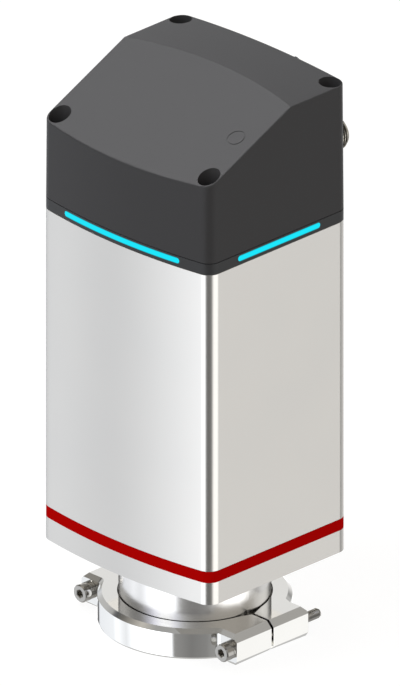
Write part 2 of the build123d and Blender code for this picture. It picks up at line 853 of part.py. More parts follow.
def bearing_outer(bottom):
    """Outer ring with its two shields."""
    top = bottom + bearing_height
    shield_bore = bearing_inner_radius + bearing_shield_gap
    return turned([
        (shield_bore, bottom),
        (bearing_radius, bottom),
        (bearing_radius, top),
        (shield_bore, top),
        (shield_bore, top - bearing_shield_thickness),
        (bearing_outer_bore, top - bearing_shield_thickness),
        (bearing_outer_bore, bottom + bearing_shield_thickness),
        (shield_bore, bottom + bearing_shield_thickness),
    ])


def bearing_inner(bottom):
    """Inner ring on the shaft."""
    return tube(bearing_inner_radius, shaft_radius, bottom, bottom + bearing_height)


# Rotor and magnetic coupling


def motor_shaft():
    """Shaft with bearing seats at both ends and a flat for the set screws."""
    lower_shoulder = lower_bearing_bottom + bearing_height
    shaft = rod(shaft_radius, coupling_roof_bottom, upper_bearing_bottom + bearing_height - shaft_end_gap)
    shaft += rod(shaft_core_radius, lower_shoulder, upper_bearing_bottom)
    flat_x = shaft_radius - shaft_flat_depth
    return shaft - block(flat_x, far, -far, far, coupling_roof_bottom, coupling_hub_top)


def rotor_stacks():
    """Two toothed stacks, turned half a tooth pitch against each other."""
    tooth_step = 360 / rotor_tooth_count
    groove_width = radians(tooth_step / 2) * rotor_radius
    groove = Pos(rotor_radius, 0) * Rectangle(2 * tooth_depth, groove_width)
    section = Circle(rotor_radius) - Circle(shaft_core_radius)
    section -= [Rot(0, 0, (i + 0.5) * tooth_step) * groove for i in range(rotor_tooth_count)]
    length = (motor_stack_height - rotor_magnet_height) / 2
    lower = lift(section, stack_bottom, stack_bottom + length)
    upper = lift(Rot(0, 0, tooth_step / 2) * section, stack_top - length, stack_top)
    return Part() + [lower, upper]


def rotor_magnet():
    """Axially magnetised disc between the two stacks."""
    length = (motor_stack_height - rotor_magnet_height) / 2
    return tube(rotor_magnet_radius, shaft_core_radius, stack_bottom + length, stack_top - length)


def coupling_carrier():
    """Steel cup that holds the coupling magnets, with a hub on the shaft."""
    cup = turned([
        (coupling_magnet_outer, coupling_cup_mouth),
        (coupling_cup_radius, coupling_cup_mouth),
        (coupling_cup_radius, coupling_roof_top),
        (coupling_hub_radius, coupling_roof_top),
        (coupling_hub_radius, coupling_hub_top),
        (shaft_radius, coupling_hub_top),
        (shaft_radius, coupling_roof_bottom),
        (coupling_magnet_outer, coupling_roof_bottom),
    ])
    screw_level = coupling_roof_top + coupling_hub_height / 2
    tapped = rod(set_screw_radius + tapped_gap, 0, coupling_hub_radius)
    across = Pos(0, 0, screw_level) * Rot(0, 90, 0) * tapped
    return cup - across - (Rot(0, 0, 90) * across)


def coupling_magnets():
    """Arc magnets round the cup's inner wall."""
    bottom = coupling_roof_bottom - coupling_magnet_height
    inner = coupling_bore_radius + coupling_liner_wall
    ring = tube(coupling_magnet_outer, inner, bottom, coupling_roof_bottom)
    step = 360 / coupling_magnet_count
    half_gap = radians(coupling_magnet_gap / 2) * inner
    gap = block(0, far, -half_gap, half_gap, bottom, coupling_roof_bottom)
    return ring - [Rot(0, 0, (i + 0.5) * step) * gap for i in range(coupling_magnet_count)]


def coupling_liner():
    """Thin tube over the magnets' inner faces; the valve's can goes inside it."""
    outer = coupling_bore_radius + coupling_liner_wall
    return tube(outer, coupling_bore_radius, coupling_cup_mouth, coupling_roof_bottom)


def coupling_set_screws():
    """Two set screws in the hub: one on the shaft's flat, one at right angles to it."""
    level = coupling_roof_top + coupling_hub_height / 2
    on_flat = shaft_radius - shaft_flat_depth
    outside = coupling_hub_radius - set_screw_gap
    first = Pos(0, 0, level) * Rot(0, 90, 0) * rod(set_screw_radius, on_flat, outside)
    second = Pos(0, 0, level) * Rot(-90, 0, 0) * rod(set_screw_radius, shaft_radius, outside)
    return Part() + [first, second & rod(coupling_hub_radius, 0, far)]


# Electronics


def board(bottom):
    """Circuit board inside the sleeve, cut back round the tie bolts."""
    top = bottom + board_thickness
    plate = block(-board_half_x, board_half_x, -board_half_y, board_half_y, bottom, top)
    plate -= rods(four(bolt_x, bolt_y), tie_bolt_radius + board_bolt_gap, bottom, top)
    return plate - rods(four(standoff_x, standoff_y), board_screw_radius + standoff_bore_gap, bottom, top)


def board_standoffs():
    """Hexagonal standoffs under each board."""
    hexagon = RegularPolygon(standoff_across / 2, 6, major_radius=False)
    hexagon -= Circle(board_screw_radius + standoff_bore_gap)
    spans = [(motor_top, driver_board_bottom), (driver_board_top, control_board_bottom)]
    places = four(standoff_x, standoff_y)
    return Part() + [Pos(x, y, 0) * lift(hexagon, low, high) for low, high in spans for x, y in places]


def board_screws():
    """Four long screws down through both boards and their standoffs into the motor's rear cap."""
    shank = rod(board_screw_radius, motor_top - board_screw_engagement, control_board_top)
    head_top = control_board_top + board_screw_head_height
    screw = shank + rod(board_screw_head_radius, control_board_top, head_top)
    return Part() + [Pos(x, y, 0) * screw for x, y in four(standoff_x, standoff_y)]


def driver_capacitors():
    """Three standing capacitors on the driver board."""
    places = [(i * capacitor_spacing, capacitor_y) for i in (-1, 0, 1)]
    return rods(places, capacitor_radius, driver_board_top, driver_board_top + capacitor_height)


def driver_chips():
    """Power chips that switch the motor's windings."""
    half = driver_chip_size / 2
    top = driver_board_top + driver_chip_height
    chip = block(-half, half, driver_chip_y - half, driver_chip_y + half, driver_board_top, top)
    return Part() + [Pos(i * driver_chip_spacing, 0, 0) * chip for i in (-1, 0, 1)]


def control_chip():
    """Main chip on the control board."""
    half = control_chip_size / 2
    top = control_board_top + driver_chip_height
    y = -board_half_y / 2
    return block(-half, half, y - half, y + half, control_board_top, top)


def board_link():
    """Board-to-board connector between the driver board and the control board."""
    half = board_link_length / 2
    y_high = board_link_y + board_link_width
    return block(-half, half, board_link_y, y_high, driver_board_top, control_board_bottom)


def lead_sockets():
    """Sockets on the control board for the leads from the two connectors."""
    half_x = lead_socket_length / 2
    half_y = lead_socket_width / 2
    top = control_board_top + lead_socket_height
    socket = block(-half_x, half_x, lead_socket_y - half_y, lead_socket_y + half_y, control_board_top, top)
    return Part() + [Pos(x, 0, 0) * socket for x in (-connector_x, connector_x)]


def motor_leads():
    """Short leads from the motor's rear cap up to the driver board."""
    offset = (motor_lead_count - 1) / 2
    places = [((i - offset) * motor_lead_spacing, motor_lead_y) for i in range(motor_lead_count)]
    return rods(places, motor_lead_radius, motor_top, driver_board_bottom)


def connector_leads():
    """Lead bundle from the tail of each connector, bent down to its socket."""
    start_y = connector_seat() - connector_shank_depth - pin_tail
    socket_top = control_board_top + lead_socket_height
    corner = (0, lead_socket_y, connector_z)
    end = (0, lead_socket_y, socket_top)
    route = FilletPolyline((0, start_y, connector_z), corner, end, radius=connector_lead_bend)
    section = Plane(origin=route @ 0, z_dir=route % 0) * Circle(connector_lead_radius)
    lead = sweep(section, path=route)
    return Part() + [Pos(x, 0, 0) * lead for x in (-connector_x, connector_x)]


# Clamp


def clamp_body():
    """The clamp in one piece, before it is split."""
    plan = Circle(clamp_radius) + Rectangle(2 * lug_reach, 2 * lug_half_depth)
    roots = [v for v in plan.vertices() if abs(v.X) < clamp_radius]
    plan = fillet(roots, radius=lug_root_fillet)
    body = lift(plan, 0, clamp_height)
    top_edges = body.faces().sort_by(Axis.Z)[-1].edges()
    body = chamfer(top_edges, length=clamp_edge_chamfer)
    ends = body.faces().sort_by(Axis.Z)[0].edges().filter_by(Axis.Y)
    body = chamfer(ends, length=clamp_edge_chamfer)
    end_top = clamp_height - lug_end_chamfer
    end_inner = lug_reach - lug_end_chamfer
    corner = Polygon((end_inner, clamp_height), (lug_reach, end_top), (lug_reach, clamp_height), align=None)
    wedge = extrude(Plane.XZ * corner, amount=far, both=True)
    body -= wedge + Rot(0, 0, 180) * wedge
    slope = tan(radians(clamp_cone_angle))
    cone_rise = (clamp_groove_radius - clamp_bore_radius) * slope
    lip_top = clamp_height - clamp_lip_height
    body -= turned([
        (0, 0),
        (clamp_bore_radius, 0),
        (clamp_bore_radius, clamp_lip_height),
        (clamp_groove_radius, clamp_lip_height + cone_rise),
        (clamp_groove_radius, lip_top - cone_rise),
        (clamp_bore_radius, lip_top),
        (clamp_bore_radius, clamp_height),
        (0, clamp_height),
    ])
    apex = clamp_bore_radius + clamp_relief_depth
    foot = sqrt(clamp_bore_radius**2 - clamp_relief_half_width**2)
    relief = Polygon((apex, 0), (foot, clamp_relief_half_width), (foot, -clamp_relief_half_width), align=None)
    return body - lift(relief + Rot(0, 0, 180) * relief, 0, clamp_height)


def clamp_half(side):
    """One half of the clamp: side is -1 for the front half and 1 for the rear half."""
    gap = clamp_screw_clear_gap if side < 0 else clamp_screw_tapped_gap
    edges = sorted([side * clamp_split_gap / 2, side * far])
    half = clamp_body() & block(-far, far, edges[0], edges[1], 0, clamp_height)
    for x in (-clamp_screw_x, clamp_screw_x):
        half -= backwards(x, 0, clamp_screw_z) * rod(clamp_screw_radius + gap, -far / 2, far / 2)
    return half


def clamp_screw(x):
    """Clamp screw: head at the front, shank back through both lugs."""
    screw = socket_screw(
        clamp_screw_radius,
        clamp_screw_length,
        clamp_screw_head_radius,
        clamp_screw_head_height,
        clamp_screw_key,
        clamp_screw_key_depth,
    )
    return Pos(x, clamp_screw_seat - clamp_screw_head_gap, clamp_screw_z) * Rot(90, 0, 0) * screw


def lock_washers():
    """Split spring washers under the two screw heads."""
    bore = clamp_screw_radius + clamp_screw_clear_gap
    washer = tube(lock_washer_radius, bore, 0, lock_washer_thickness)
    half = lock_washer_slit / 2
    washer -= block(-half, half, 0, far, 0, lock_washer_thickness)
    places = [backwards(x, clamp_screw_seat, clamp_screw_z) for x in (-clamp_screw_x, clamp_screw_x)]
    return Part() + [place * washer for place in places]


power_places = pin_places(power_pin_count, power_pin_circle, False)
signal_places = pin_places(signal_pin_count, signal_pin_circle, True)

nodes = {
    "neck": neck(),
    "base_plate": base_plate(),
    "neck_seal": neck_seal(),
    "trim_band": trim_band(),
    "housing_sleeve": housing_sleeve(),
    "tie_bolts": tie_bolts(),
    "light_frame": light_frame(),
    "sleeve_seal": sleeve_seal(),
    "light_bars": light_bars(),
    "light_board": light_board(),
    "light_emitters": light_emitters(),
    "top_cover": top_cover(),
    "cover_seal": cover_seal(),
    "vent_plug": vent_plug(),
    "power_connector": connector_body(connector_x),
    "signal_connector": connector_body(-connector_x),
    "connector_seals": Part() + [connector_seal(x) for x in (-connector_x, connector_x)],
    "power_insert": connector_insert(connector_x, power_places, power_pin_radius),
    "signal_insert": connector_insert(-connector_x, signal_places, signal_pin_radius),
    "power_pins": connector_pins(connector_x, power_places, power_pin_radius),
    "signal_pins": connector_pins(-connector_x, signal_places, signal_pin_radius),
    "ring_nuts": Part() + [ring_nut(x) for x in (-connector_x, connector_x)],
    "motor_front_cap": motor_front_cap(),
    "motor_rear_cap": motor_rear_cap(),
    "motor_stator": motor_stator(),
    "motor_coils": motor_coils(),
    "motor_cap_screws": motor_cap_screws(),
    "motor_mount_screws": motor_mount_screws(),
    "lower_bearing": bearing_outer(lower_bearing_bottom),
    "upper_bearing": bearing_outer(upper_bearing_bottom),
    "lower_inner_ring": bearing_inner(lower_bearing_bottom),
    "upper_inner_ring": bearing_inner(upper_bearing_bottom),
    "motor_shaft": motor_shaft(),
    "rotor_stacks": rotor_stacks(),
    "rotor_magnet": rotor_magnet(),
    "coupling_carrier": coupling_carrier(),
    "coupling_magnets": coupling_magnets(),
    "coupling_liner": coupling_liner(),
    "coupling_set_screws": coupling_set_screws(),
    "driver_board": board(driver_board_bottom),
    "control_board": board(control_board_bottom),
    "board_standoffs": board_standoffs(),
    "board_screws": board_screws(),
    "driver_capacitors": driver_capacitors(),
    "driver_chips": driver_chips(),
    "control_chip": control_chip(),
    "board_link": board_link(),
    "lead_sockets": lead_sockets(),
    "motor_leads": motor_leads(),
    "connector_leads": connector_leads(),
    "clamp_rear_half": clamp_half(1),
    "clamp_front_half": clamp_half(-1),
    "clamp_screw_left": clamp_screw(-clamp_screw_x),
    "clamp_screw_right": clamp_screw(clamp_screw_x),
    "lock_washers": lock_washers(),
}

os.makedirs("parts", exist_ok=True)
for name, shape in nodes.items():
    export_step(shape, f"parts/{name}.step")
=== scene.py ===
"""Looks of an electric valve actuator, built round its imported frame.

The frame gives every solid piece in metres, with +Z up and the bowed front towards -Y. This script adds
the finishes, the studio, and the forms that the solids leave plain: threads, screw sockets, broken edges
and the grips of the vent cap.
"""

import json
import logging
import math
from collections.abc import Callable, Iterable
from dataclasses import dataclass
from enum import Enum

import bmesh
import bpy
from mathutils import Matrix, Vector

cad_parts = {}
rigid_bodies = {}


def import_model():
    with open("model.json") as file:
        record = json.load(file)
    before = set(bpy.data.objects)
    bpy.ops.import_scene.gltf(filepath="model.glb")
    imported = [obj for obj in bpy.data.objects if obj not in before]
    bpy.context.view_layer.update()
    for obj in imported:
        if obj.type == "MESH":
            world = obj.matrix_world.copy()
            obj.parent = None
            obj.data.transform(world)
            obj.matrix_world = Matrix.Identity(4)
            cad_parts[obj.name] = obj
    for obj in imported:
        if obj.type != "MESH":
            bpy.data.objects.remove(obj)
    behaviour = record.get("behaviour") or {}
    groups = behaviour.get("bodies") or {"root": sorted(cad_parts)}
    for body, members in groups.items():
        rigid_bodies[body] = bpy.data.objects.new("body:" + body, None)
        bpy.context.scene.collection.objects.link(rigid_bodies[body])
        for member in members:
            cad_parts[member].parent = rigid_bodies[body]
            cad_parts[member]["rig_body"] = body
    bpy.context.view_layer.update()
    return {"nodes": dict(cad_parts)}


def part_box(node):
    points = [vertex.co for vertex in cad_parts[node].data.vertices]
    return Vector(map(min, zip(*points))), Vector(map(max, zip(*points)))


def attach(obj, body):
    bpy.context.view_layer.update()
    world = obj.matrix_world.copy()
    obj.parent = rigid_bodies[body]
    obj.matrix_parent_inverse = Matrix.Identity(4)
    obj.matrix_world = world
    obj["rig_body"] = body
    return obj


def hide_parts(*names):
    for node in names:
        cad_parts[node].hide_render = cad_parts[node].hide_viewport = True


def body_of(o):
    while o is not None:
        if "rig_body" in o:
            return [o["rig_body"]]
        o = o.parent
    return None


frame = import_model()

log = logging.getLogger("actuator")

MM = 0.001
TURN = 2 * math.pi

Rgba = tuple[float, float, float, float]
Inputs = dict[str | int, object]
RadiusAt = Callable[[float], float]
Station = tuple[float, RadiusAt]
Ring = list[Vector]

BLACK: Rgba = (0.0, 0.0, 0.0, 1.0)
WHITE: Rgba = (1.0, 1.0, 1.0, 1.0)


def linear(hex_value: str) -> Rgba:
    """Turns an sRGB colour into the linear one that shaders take, by the curve of the sRGB standard.

    Args:
        hex_value: colour as #RRGGBB.

    Returns:
        Red, green, blue and an alpha of 1.
    """
    shares = [int(hex_value[i:i + 2], 16) / 255 for i in (1, 3, 5)]
    red, green, blue = [s / 12.92 if s <= 0.04045 else ((s + 0.055) / 1.055) ** 2.4 for s in shares]
    return red, green, blue, 1.0


def add(tree: bpy.types.NodeTree, kind: str, inputs: Inputs | None = None,
        **settings: object) -> bpy.types.Node:
    """Adds a node with its settings, its fixed inputs and its links.

    Args:
        tree: the node tree that gets the node.
        kind: Blender's name of the node type.
        inputs: input name or number to a value, or to the output socket that feeds it.
        settings: properties of the node itself.

    Returns:
        The new node.
    """
    node = tree.nodes.new(kind)
    for name, value in settings.items():
        setattr(node, name, value)
    for key, value in (inputs or {}).items():
        if isinstance(value, bpy.types.NodeSocket):
            tree.links.new(value, node.inputs[key])
        else:
            node.inputs[key].default_value = value
    return node


# Finishes

# Length of the slow drift in tone, and of one brush line, in mm.
DRIFT_LENGTH = 35.0
BRUSH_LENGTH = 60.0
# How many finer layers lie on the noise of brush lines and grain.
NOISE_DETAIL = 3.0
# Width of a copper track as a share of the spacing.
TRACK_SHARE = 0.12
# Over how many mm a light bar fades at its long edges, and what share of its light is left there.
GLOW_EDGE = 0.4
GLOW_RIM = 0.4


class Texture(Enum):
    """How a surface was made, which decides the pattern in its material."""

    SMOOTH = "even, but for a slow drift of tone and a faint unevenness of gloss"
    BRUSHED = "level brush lines"
    TURNED = "tool rings round the valve axis"
    GRAINED = "fine even grain of a blasted, cast or moulded face"
    STACKED = "level lines of stacked sheet"
    WOUND = "level lines of wound wire"
    ETCHED = "copper tracks under a solder mask"


@dataclass(frozen=True)
class Finish:
    """One finish of the object.

    Attributes:
        name: the real material and how its surface was made.
        colour: sRGB colour of the face.
        drift: sRGB colour that the tone drifts to in places.
        texture: pattern that the making left.
        pitch: spacing of that pattern in mm.
        depth: height of that pattern in mm.
        roughness: mean roughness.
        spread: how far the pattern moves the roughness to either side.
        metallic: 1 for a metal, 0 for anything else.
        ior: index of refraction, used where it isn't a metal.
        specular: how strongly a face that isn't metal mirrors, 0.5 being physical.
        glow: sRGB colour of the light that it gives off, or nothing.
    """

    name: str
    colour: str
    drift: str
    texture: Texture = Texture.SMOOTH
    pitch: float = 1.0
    depth: float = 0.0
    roughness: float = 0.5
    spread: float = 0.04
    metallic: float = 0.0
    ior: float = 1.5
    specular: float = 0.5
    glow: str = ""

    def material(self) -> bpy.types.Material:
        """Builds the material on first use.

        Returns:
            The material named after the finish.
        """
        found = bpy.data.materials.get(self.name)
        if found:
            return found
        made = bpy.data.materials.new(self.name)
        made.use_nodes = True
        tree = made.node_tree
        tree.nodes.clear()
        place = add(tree, "ShaderNodeTexCoord").outputs["Object"]
        pattern = self.pattern(tree, place)
        blend = pattern
        if self.texture is not Texture.ETCHED:
            slow = {"Vector": place, "Scale": 1 / (DRIFT_LENGTH * MM)}
            blend = add(tree, "ShaderNodeTexNoise", slow).outputs["Fac"]
        colours = {"Factor": blend, "A": linear(self.colour), "B": linear(self.drift)}
        tone = add(tree, "ShaderNodeMix", colours, data_type="RGBA")
        low, high = self.roughness - self.spread, self.roughness + self.spread
        rough = add(tree, "ShaderNodeMapRange", {"Value": pattern, "To Min": low, "To Max": high})
        inputs: Inputs = {
            "Base Color": tone.outputs["Result"],
            "Roughness": rough.outputs["Result"],
            "Metallic": self.metallic,
            "Specular IOR Level": self.specular,
        }
        if not self.metallic:
            inputs["IOR"] = self.ior
        if self.depth:
            bump = add(tree, "ShaderNodeBump", {"Height": pattern, "Distance": self.depth * MM})
            inputs["Normal"] = bump.outputs["Normal"]
        if self.glow:
            inputs["Emission Color"] = linear(self.glow)
            inputs["Emission Strength"] = self.bar_glow(tree, place)
        shader = add(tree, "ShaderNodeBsdfPrincipled", inputs)
        add(tree, "ShaderNodeOutputMaterial", {"Surface": shader.outputs["BSDF"]})
        return made

    def pattern(self, tree: bpy.types.NodeTree, place: bpy.types.NodeSocket) -> bpy.types.NodeSocket:
        """Builds the pattern that the making left.

        Args:
            tree: node tree of the material.
            place: position on the object in metres.

        Returns:
            Height of the pattern from 0 to 1.
        """
        across = 1 / (self.pitch * MM)
        if self.texture is Texture.TURNED:
            split = add(tree, "ShaderNodeSeparateXYZ", {"Vector": place}).outputs
            flat = add(tree, "ShaderNodeCombineXYZ", {"X": split["X"], "Y": split["Y"]}).outputs["Vector"]
            radius = add(tree, "ShaderNodeVectorMath", {0: flat}, operation="LENGTH").outputs["Value"]
            rings = add(tree, "ShaderNodeCombineXYZ", {"X": radius, "Y": split["Z"]}).outputs["Vector"]
            return add(tree, "ShaderNodeTexNoise", {"Vector": rings, "Scale": across}).outputs["Fac"]
        if self.texture in (Texture.STACKED, Texture.WOUND):
            waves = {"Vector": place, "Scale": across / TURN}
            return add(tree, "ShaderNodeTexWave", waves, bands_direction="Z").outputs["Fac"]
        if self.texture is Texture.ETCHED:
            tracks = add(tree, "ShaderNodeTexBrick", {
                "Vector": place, "Scale": across, "Mortar Size": TRACK_SHARE,
                "Color1": BLACK, "Color2": BLACK, "Mortar": WHITE,
            })
            return tracks.outputs["Color"]
        along = 1 / (BRUSH_LENGTH * MM) if self.texture is Texture.BRUSHED else across
        drawn = {0: place, 1: (along, along, across)}
        lines = add(tree, "ShaderNodeVectorMath", drawn, operation="MULTIPLY").outputs["Vector"]
        grain = {"Vector": lines, "Scale": 1.0, "Detail": NOISE_DETAIL}
        return add(tree, "ShaderNodeTexNoise", grain).outputs["Fac"]

    def bar_glow(self, tree: bpy.types.NodeTree, place: bpy.types.NodeSocket) -> bpy.types.NodeSocket:
        """Fades the light of the bars towards their long edges, as a moulded light guide does.

        Args:
            tree: node tree of the material.
            place: position on the object in metres.

        Returns:
            Emission strength, 1 along the middle of a bar.
        """
        low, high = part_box("light_bars")
        middle, half = (low.z + high.z) / 2, (high.z - low.z) / 2
        split = add(tree, "ShaderNodeSeparateXYZ", {"Vector": place})
        away = add(tree, "ShaderNodeMath", {0: split.outputs["Z"], 1: middle}, operation="SUBTRACT")
        size = add(tree, "ShaderNodeMath", {0: away.outputs["Value"]}, operation="ABSOLUTE")
        fade = add(tree, "ShaderNodeMapRange", {
            "Value": size.outputs["Value"], "From Min": half - GLOW_EDGE * MM, "From Max": half,
            "To Min": 1.0, "To Max": GLOW_RIM,
        }, interpolation_type="SMOOTHSTEP")
        return fade.outputs["Result"]


# Where a comment names no width, the real grain or rings are 0.1 mm wide or finer, too fine to show, and are
# drawn as wide as the pitch says.

# Stainless sheet, brushed: a slightly warm grey that mirrors the studio in soft level-brushed bands.
# Real grit 240 lines lie 0.1 mm apart, too fine to show, so they are drawn 0.7 mm apart.
BRUSHED_STAINLESS = Finish(
    "brushed_stainless_sheet", "#C5C2BD", "#C0BEBA", Texture.BRUSHED,
    pitch=0.7, depth=0.0003, roughness=0.24, spread=0.02, metallic=1.0)
# Stainless bar, turned: tool rings round the axis give the neck its silky sheen.
# Real rings lie 0.1 mm apart, too fine to show, so they are drawn 0.6 mm apart.
TURNED_STAINLESS = Finish(
    "turned_stainless_bar", "#E0DEDB", "#D9D7D4", Texture.TURNED,
    pitch=0.6, depth=0.0008, roughness=0.24, spread=0.03, metallic=1.0)
# Stainless investment casting, polished by tumbling: nearly a mirror, with soft uneven waves 1.6 mm wide.
POLISHED_CASTING = Finish(
    "tumbled_stainless_casting", "#EAE9E6", "#E2E1DD", Texture.GRAINED,
    pitch=1.6, depth=0.001, roughness=0.07, spread=0.02, metallic=1.0)
# Stainless screw, cold headed: bright but slightly yellowish beside the clamp.
BRIGHT_SCREW = Finish(
    "cold_headed_stainless", "#B3B0AB", "#A8A6A1", Texture.GRAINED,
    pitch=0.8, depth=0.0005, roughness=0.09, spread=0.02, metallic=1.0)
# Steel screw, blackened in hot oxide: almost black with a dull edge sheen.
BLACK_SCREW = Finish(
    "black_oxide_steel", "#1B1B1C", "#141416", Texture.GRAINED,
    pitch=0.5, depth=0.003, roughness=0.42, spread=0.06, metallic=1.0)
# Glass-filled PBT, moulded against a spark-eroded tool: matt charcoal with a faint even grain.
# Real VDI 24 grain is 0.1 mm wide, too fine to show, so it is drawn 0.5 mm wide.
MOULDED_PBT = Finish(
    "moulded_pbt_charcoal", "#4B4B4D", "#49494B", Texture.GRAINED,
    pitch=0.5, depth=0.004, roughness=0.4, spread=0.05, ior=1.55, specular=0.08)
# Polycarbonate frame, moulded smooth: the same charcoal, a little darker and shinier than the cover.
MOULDED_POLYCARBONATE = Finish(
    "moulded_polycarbonate_frame", "#454648", "#424345", Texture.GRAINED,
    pitch=0.6, depth=0.002, roughness=0.4, spread=0.05, ior=1.58, specular=0.12)
# Acrylic light guide, moulded opal: cyan light fills it and fades at the edges.
OPAL_ACRYLIC = Finish(
    "opal_acrylic_light_guide", "#06262B", "#06262B", Texture.SMOOTH,
    roughness=0.5, spread=0.02, ior=1.49, specular=0.1, glow="#02E4F8")
# Silicone rubber, moulded: saturated red with no gloss of its own.
RED_SILICONE = Finish(
    "moulded_silicone_red", "#DD0302", "#D70201", Texture.GRAINED,
    pitch=0.8, depth=0.003, roughness=0.75, spread=0.05, ior=1.41, specular=0.03)
# EPDM seal, moulded: soft black.
BLACK_EPDM = Finish(
    "moulded_epdm_black", "#181818", "#121212", Texture.GRAINED,
    pitch=0.6, depth=0.003, roughness=0.7, spread=0.05, ior=1.5, specular=0.3)
# Brass, nickel plated: warm grey with clear highlights on every thread.
NICKEL_BRASS = Finish(
    "nickel_plated_brass", "#A8A49A", "#9A968C", Texture.GRAINED,
    pitch=0.8, depth=0.001, roughness=0.2, spread=0.04, metallic=1.0)
# Contact pins, gold plated over nickel: a warm, clear yellow.
GOLD_PLATE = Finish(
    "gold_plated_contact", "#E0B45C", "#D6A94F", Texture.SMOOTH,
    roughness=0.18, spread=0.03, metallic=1.0)
# Polyamide contact carrier, moulded: satin black.
MOULDED_POLYAMIDE = Finish(
    "moulded_polyamide_black", "#1D1D1F", "#18181A", Texture.GRAINED,
    pitch=0.4, depth=0.003, roughness=0.5, spread=0.05, ior=1.53, specular=0.4)
# Polyamide vent cap, moulded: dull dark grey.
VENT_POLYAMIDE = Finish(
    "moulded_polyamide_grey", "#35363A", "#303135", Texture.GRAINED,
    pitch=0.4, depth=0.003, roughness=0.5, spread=0.05, ior=1.53, specular=0.4)
# Aluminium pressure die casting, tumbled: light grey, matt, with a fine cast skin.
CAST_ALUMINIUM = Finish(
    "die_cast_aluminium", "#B9BABB", "#AEB0B2", Texture.GRAINED,
    pitch=0.7, depth=0.008, roughness=0.45, spread=0.08, metallic=1.0)
# Silicon steel sheet, stamped and stacked: dark blue-grey with the lines of 0.5 mm sheets.
STACKED_LAMINATIONS = Finish(
    "stacked_silicon_steel", "#5B5F66", "#4F535A", Texture.STACKED,
    pitch=0.5, depth=0.02, roughness=0.45, spread=0.08, metallic=1.0)
# Enamelled copper wire, wound: reddish brown with the ridge of each turn of 0.6 mm wire.
WOUND_COPPER = Finish(
    "enamelled_copper_wire", "#A4522B", "#8E4423", Texture.WOUND,
    pitch=0.6, depth=0.08, roughness=0.3, spread=0.06, metallic=1.0)
# Bearing steel, ground: bright and even, with fine rings.
GROUND_STEEL = Finish(
    "ground_bearing_steel", "#BFC0C2", "#B4B6B8", Texture.TURNED,
    pitch=0.5, depth=0.001, roughness=0.18, spread=0.03, metallic=1.0)
# Neodymium magnet, nickel plated: bright with rounded tone.
PLATED_MAGNET = Finish(
    "nickel_plated_magnet", "#C6C3BC", "#BAB7B0", Texture.SMOOTH,
    roughness=0.22, spread=0.03, metallic=1.0)
# Glass epoxy board under green solder mask, with copper tracks 4 mm apart showing through it.
SOLDER_MASK = Finish(
    "solder_masked_glass_epoxy", "#0E4A2A", "#17683C", Texture.ETCHED,
    pitch=4.0, depth=0.02, roughness=0.32, spread=0.04, ior=1.55, specular=0.5)
# Epoxy chip package, moulded: near black and matt.
MOULDED_EPOXY = Finish(
    "moulded_epoxy_package", "#1A1A1B", "#161617", Texture.GRAINED,
    pitch=0.3, depth=0.002, roughness=0.55, spread=0.05, ior=1.55, specular=0.4)
# Aluminium capacitor can, drawn: bright bare metal.
DRAWN_ALUMINIUM = Finish(
    "drawn_aluminium_can", "#C7C9CB", "#BABCBE", Texture.SMOOTH,
    roughness=0.26, spread=0.04, metallic=1.0)
# Brass standoff, turned and nickel plated: warm grey with fine rings.
PLATED_STANDOFF = Finish(
    "nickel_plated_standoff", "#B7B2A6", "#ABA699", Texture.TURNED,
    pitch=0.5, depth=0.001, roughness=0.25, spread=0.04, metallic=1.0)
# Nylon socket, moulded in its natural white: creamy, with a satin face.
NATURAL_NYLON = Finish(
    "moulded_nylon_natural", "#D8D4C6", "#CFCABB", Texture.GRAINED,
    pitch=0.6, depth=0.002, roughness=0.45, spread=0.05, ior=1.53, specular=0.4)
# PVC lead jacket, extruded: smooth dark grey.
EXTRUDED_PVC = Finish(
    "extruded_pvc_grey", "#3A3B3D", "#333436", Texture.SMOOTH,
    roughness=0.5, spread=0.05, ior=1.54, specular=0.4)
# Emitter package, fired ceramic: a clean, cool white.
EMITTER_CERAMIC = Finish(
    "emitter_ceramic_white", "#E4E6E2", "#DADCD8", Texture.SMOOTH,
    roughness=0.4, spread=0.04, ior=1.6, specular=0.5)


# Mesh code

# Edges that turn by more than this stay sharp in the shading, in degrees.
SHARP_ANGLE = 32.0
# Outer corners that turn by more than this are broken, in degrees.
CORNER_ANGLE = 60.0
# Points of the frame's solid that lie nearer to each other than this are one, in mm.
WELD_DISTANCE = 0.001
# Its faces that meet at less than this are one, in degrees.
FLAT_ANGLE = 0.5
# Points below this height stand on the ground, in mm.
GROUND_BAND = 0.01
# Shape of a bevel: 0.5 is round.
ROUND_PROFILE = 0.5


def polar(radius: float, angle: float, height: float) -> Vector:
    """Point in metres round the Z axis, from a radius and a height in mm."""
    return Vector((radius * math.cos(angle), radius * math.sin(angle), height)) * MM


def round_at(radius: float) -> RadiusAt:
    """Radius of a circle at every angle."""
    return lambda angle: radius


def hexagon_at(across: float) -> RadiusAt:
    """Radius of a hexagon at every angle, from its size across the flats."""
    sixth = TURN / 6
    return lambda angle: across / 2 / math.cos((angle + sixth / 2) % sixth - sixth / 2)


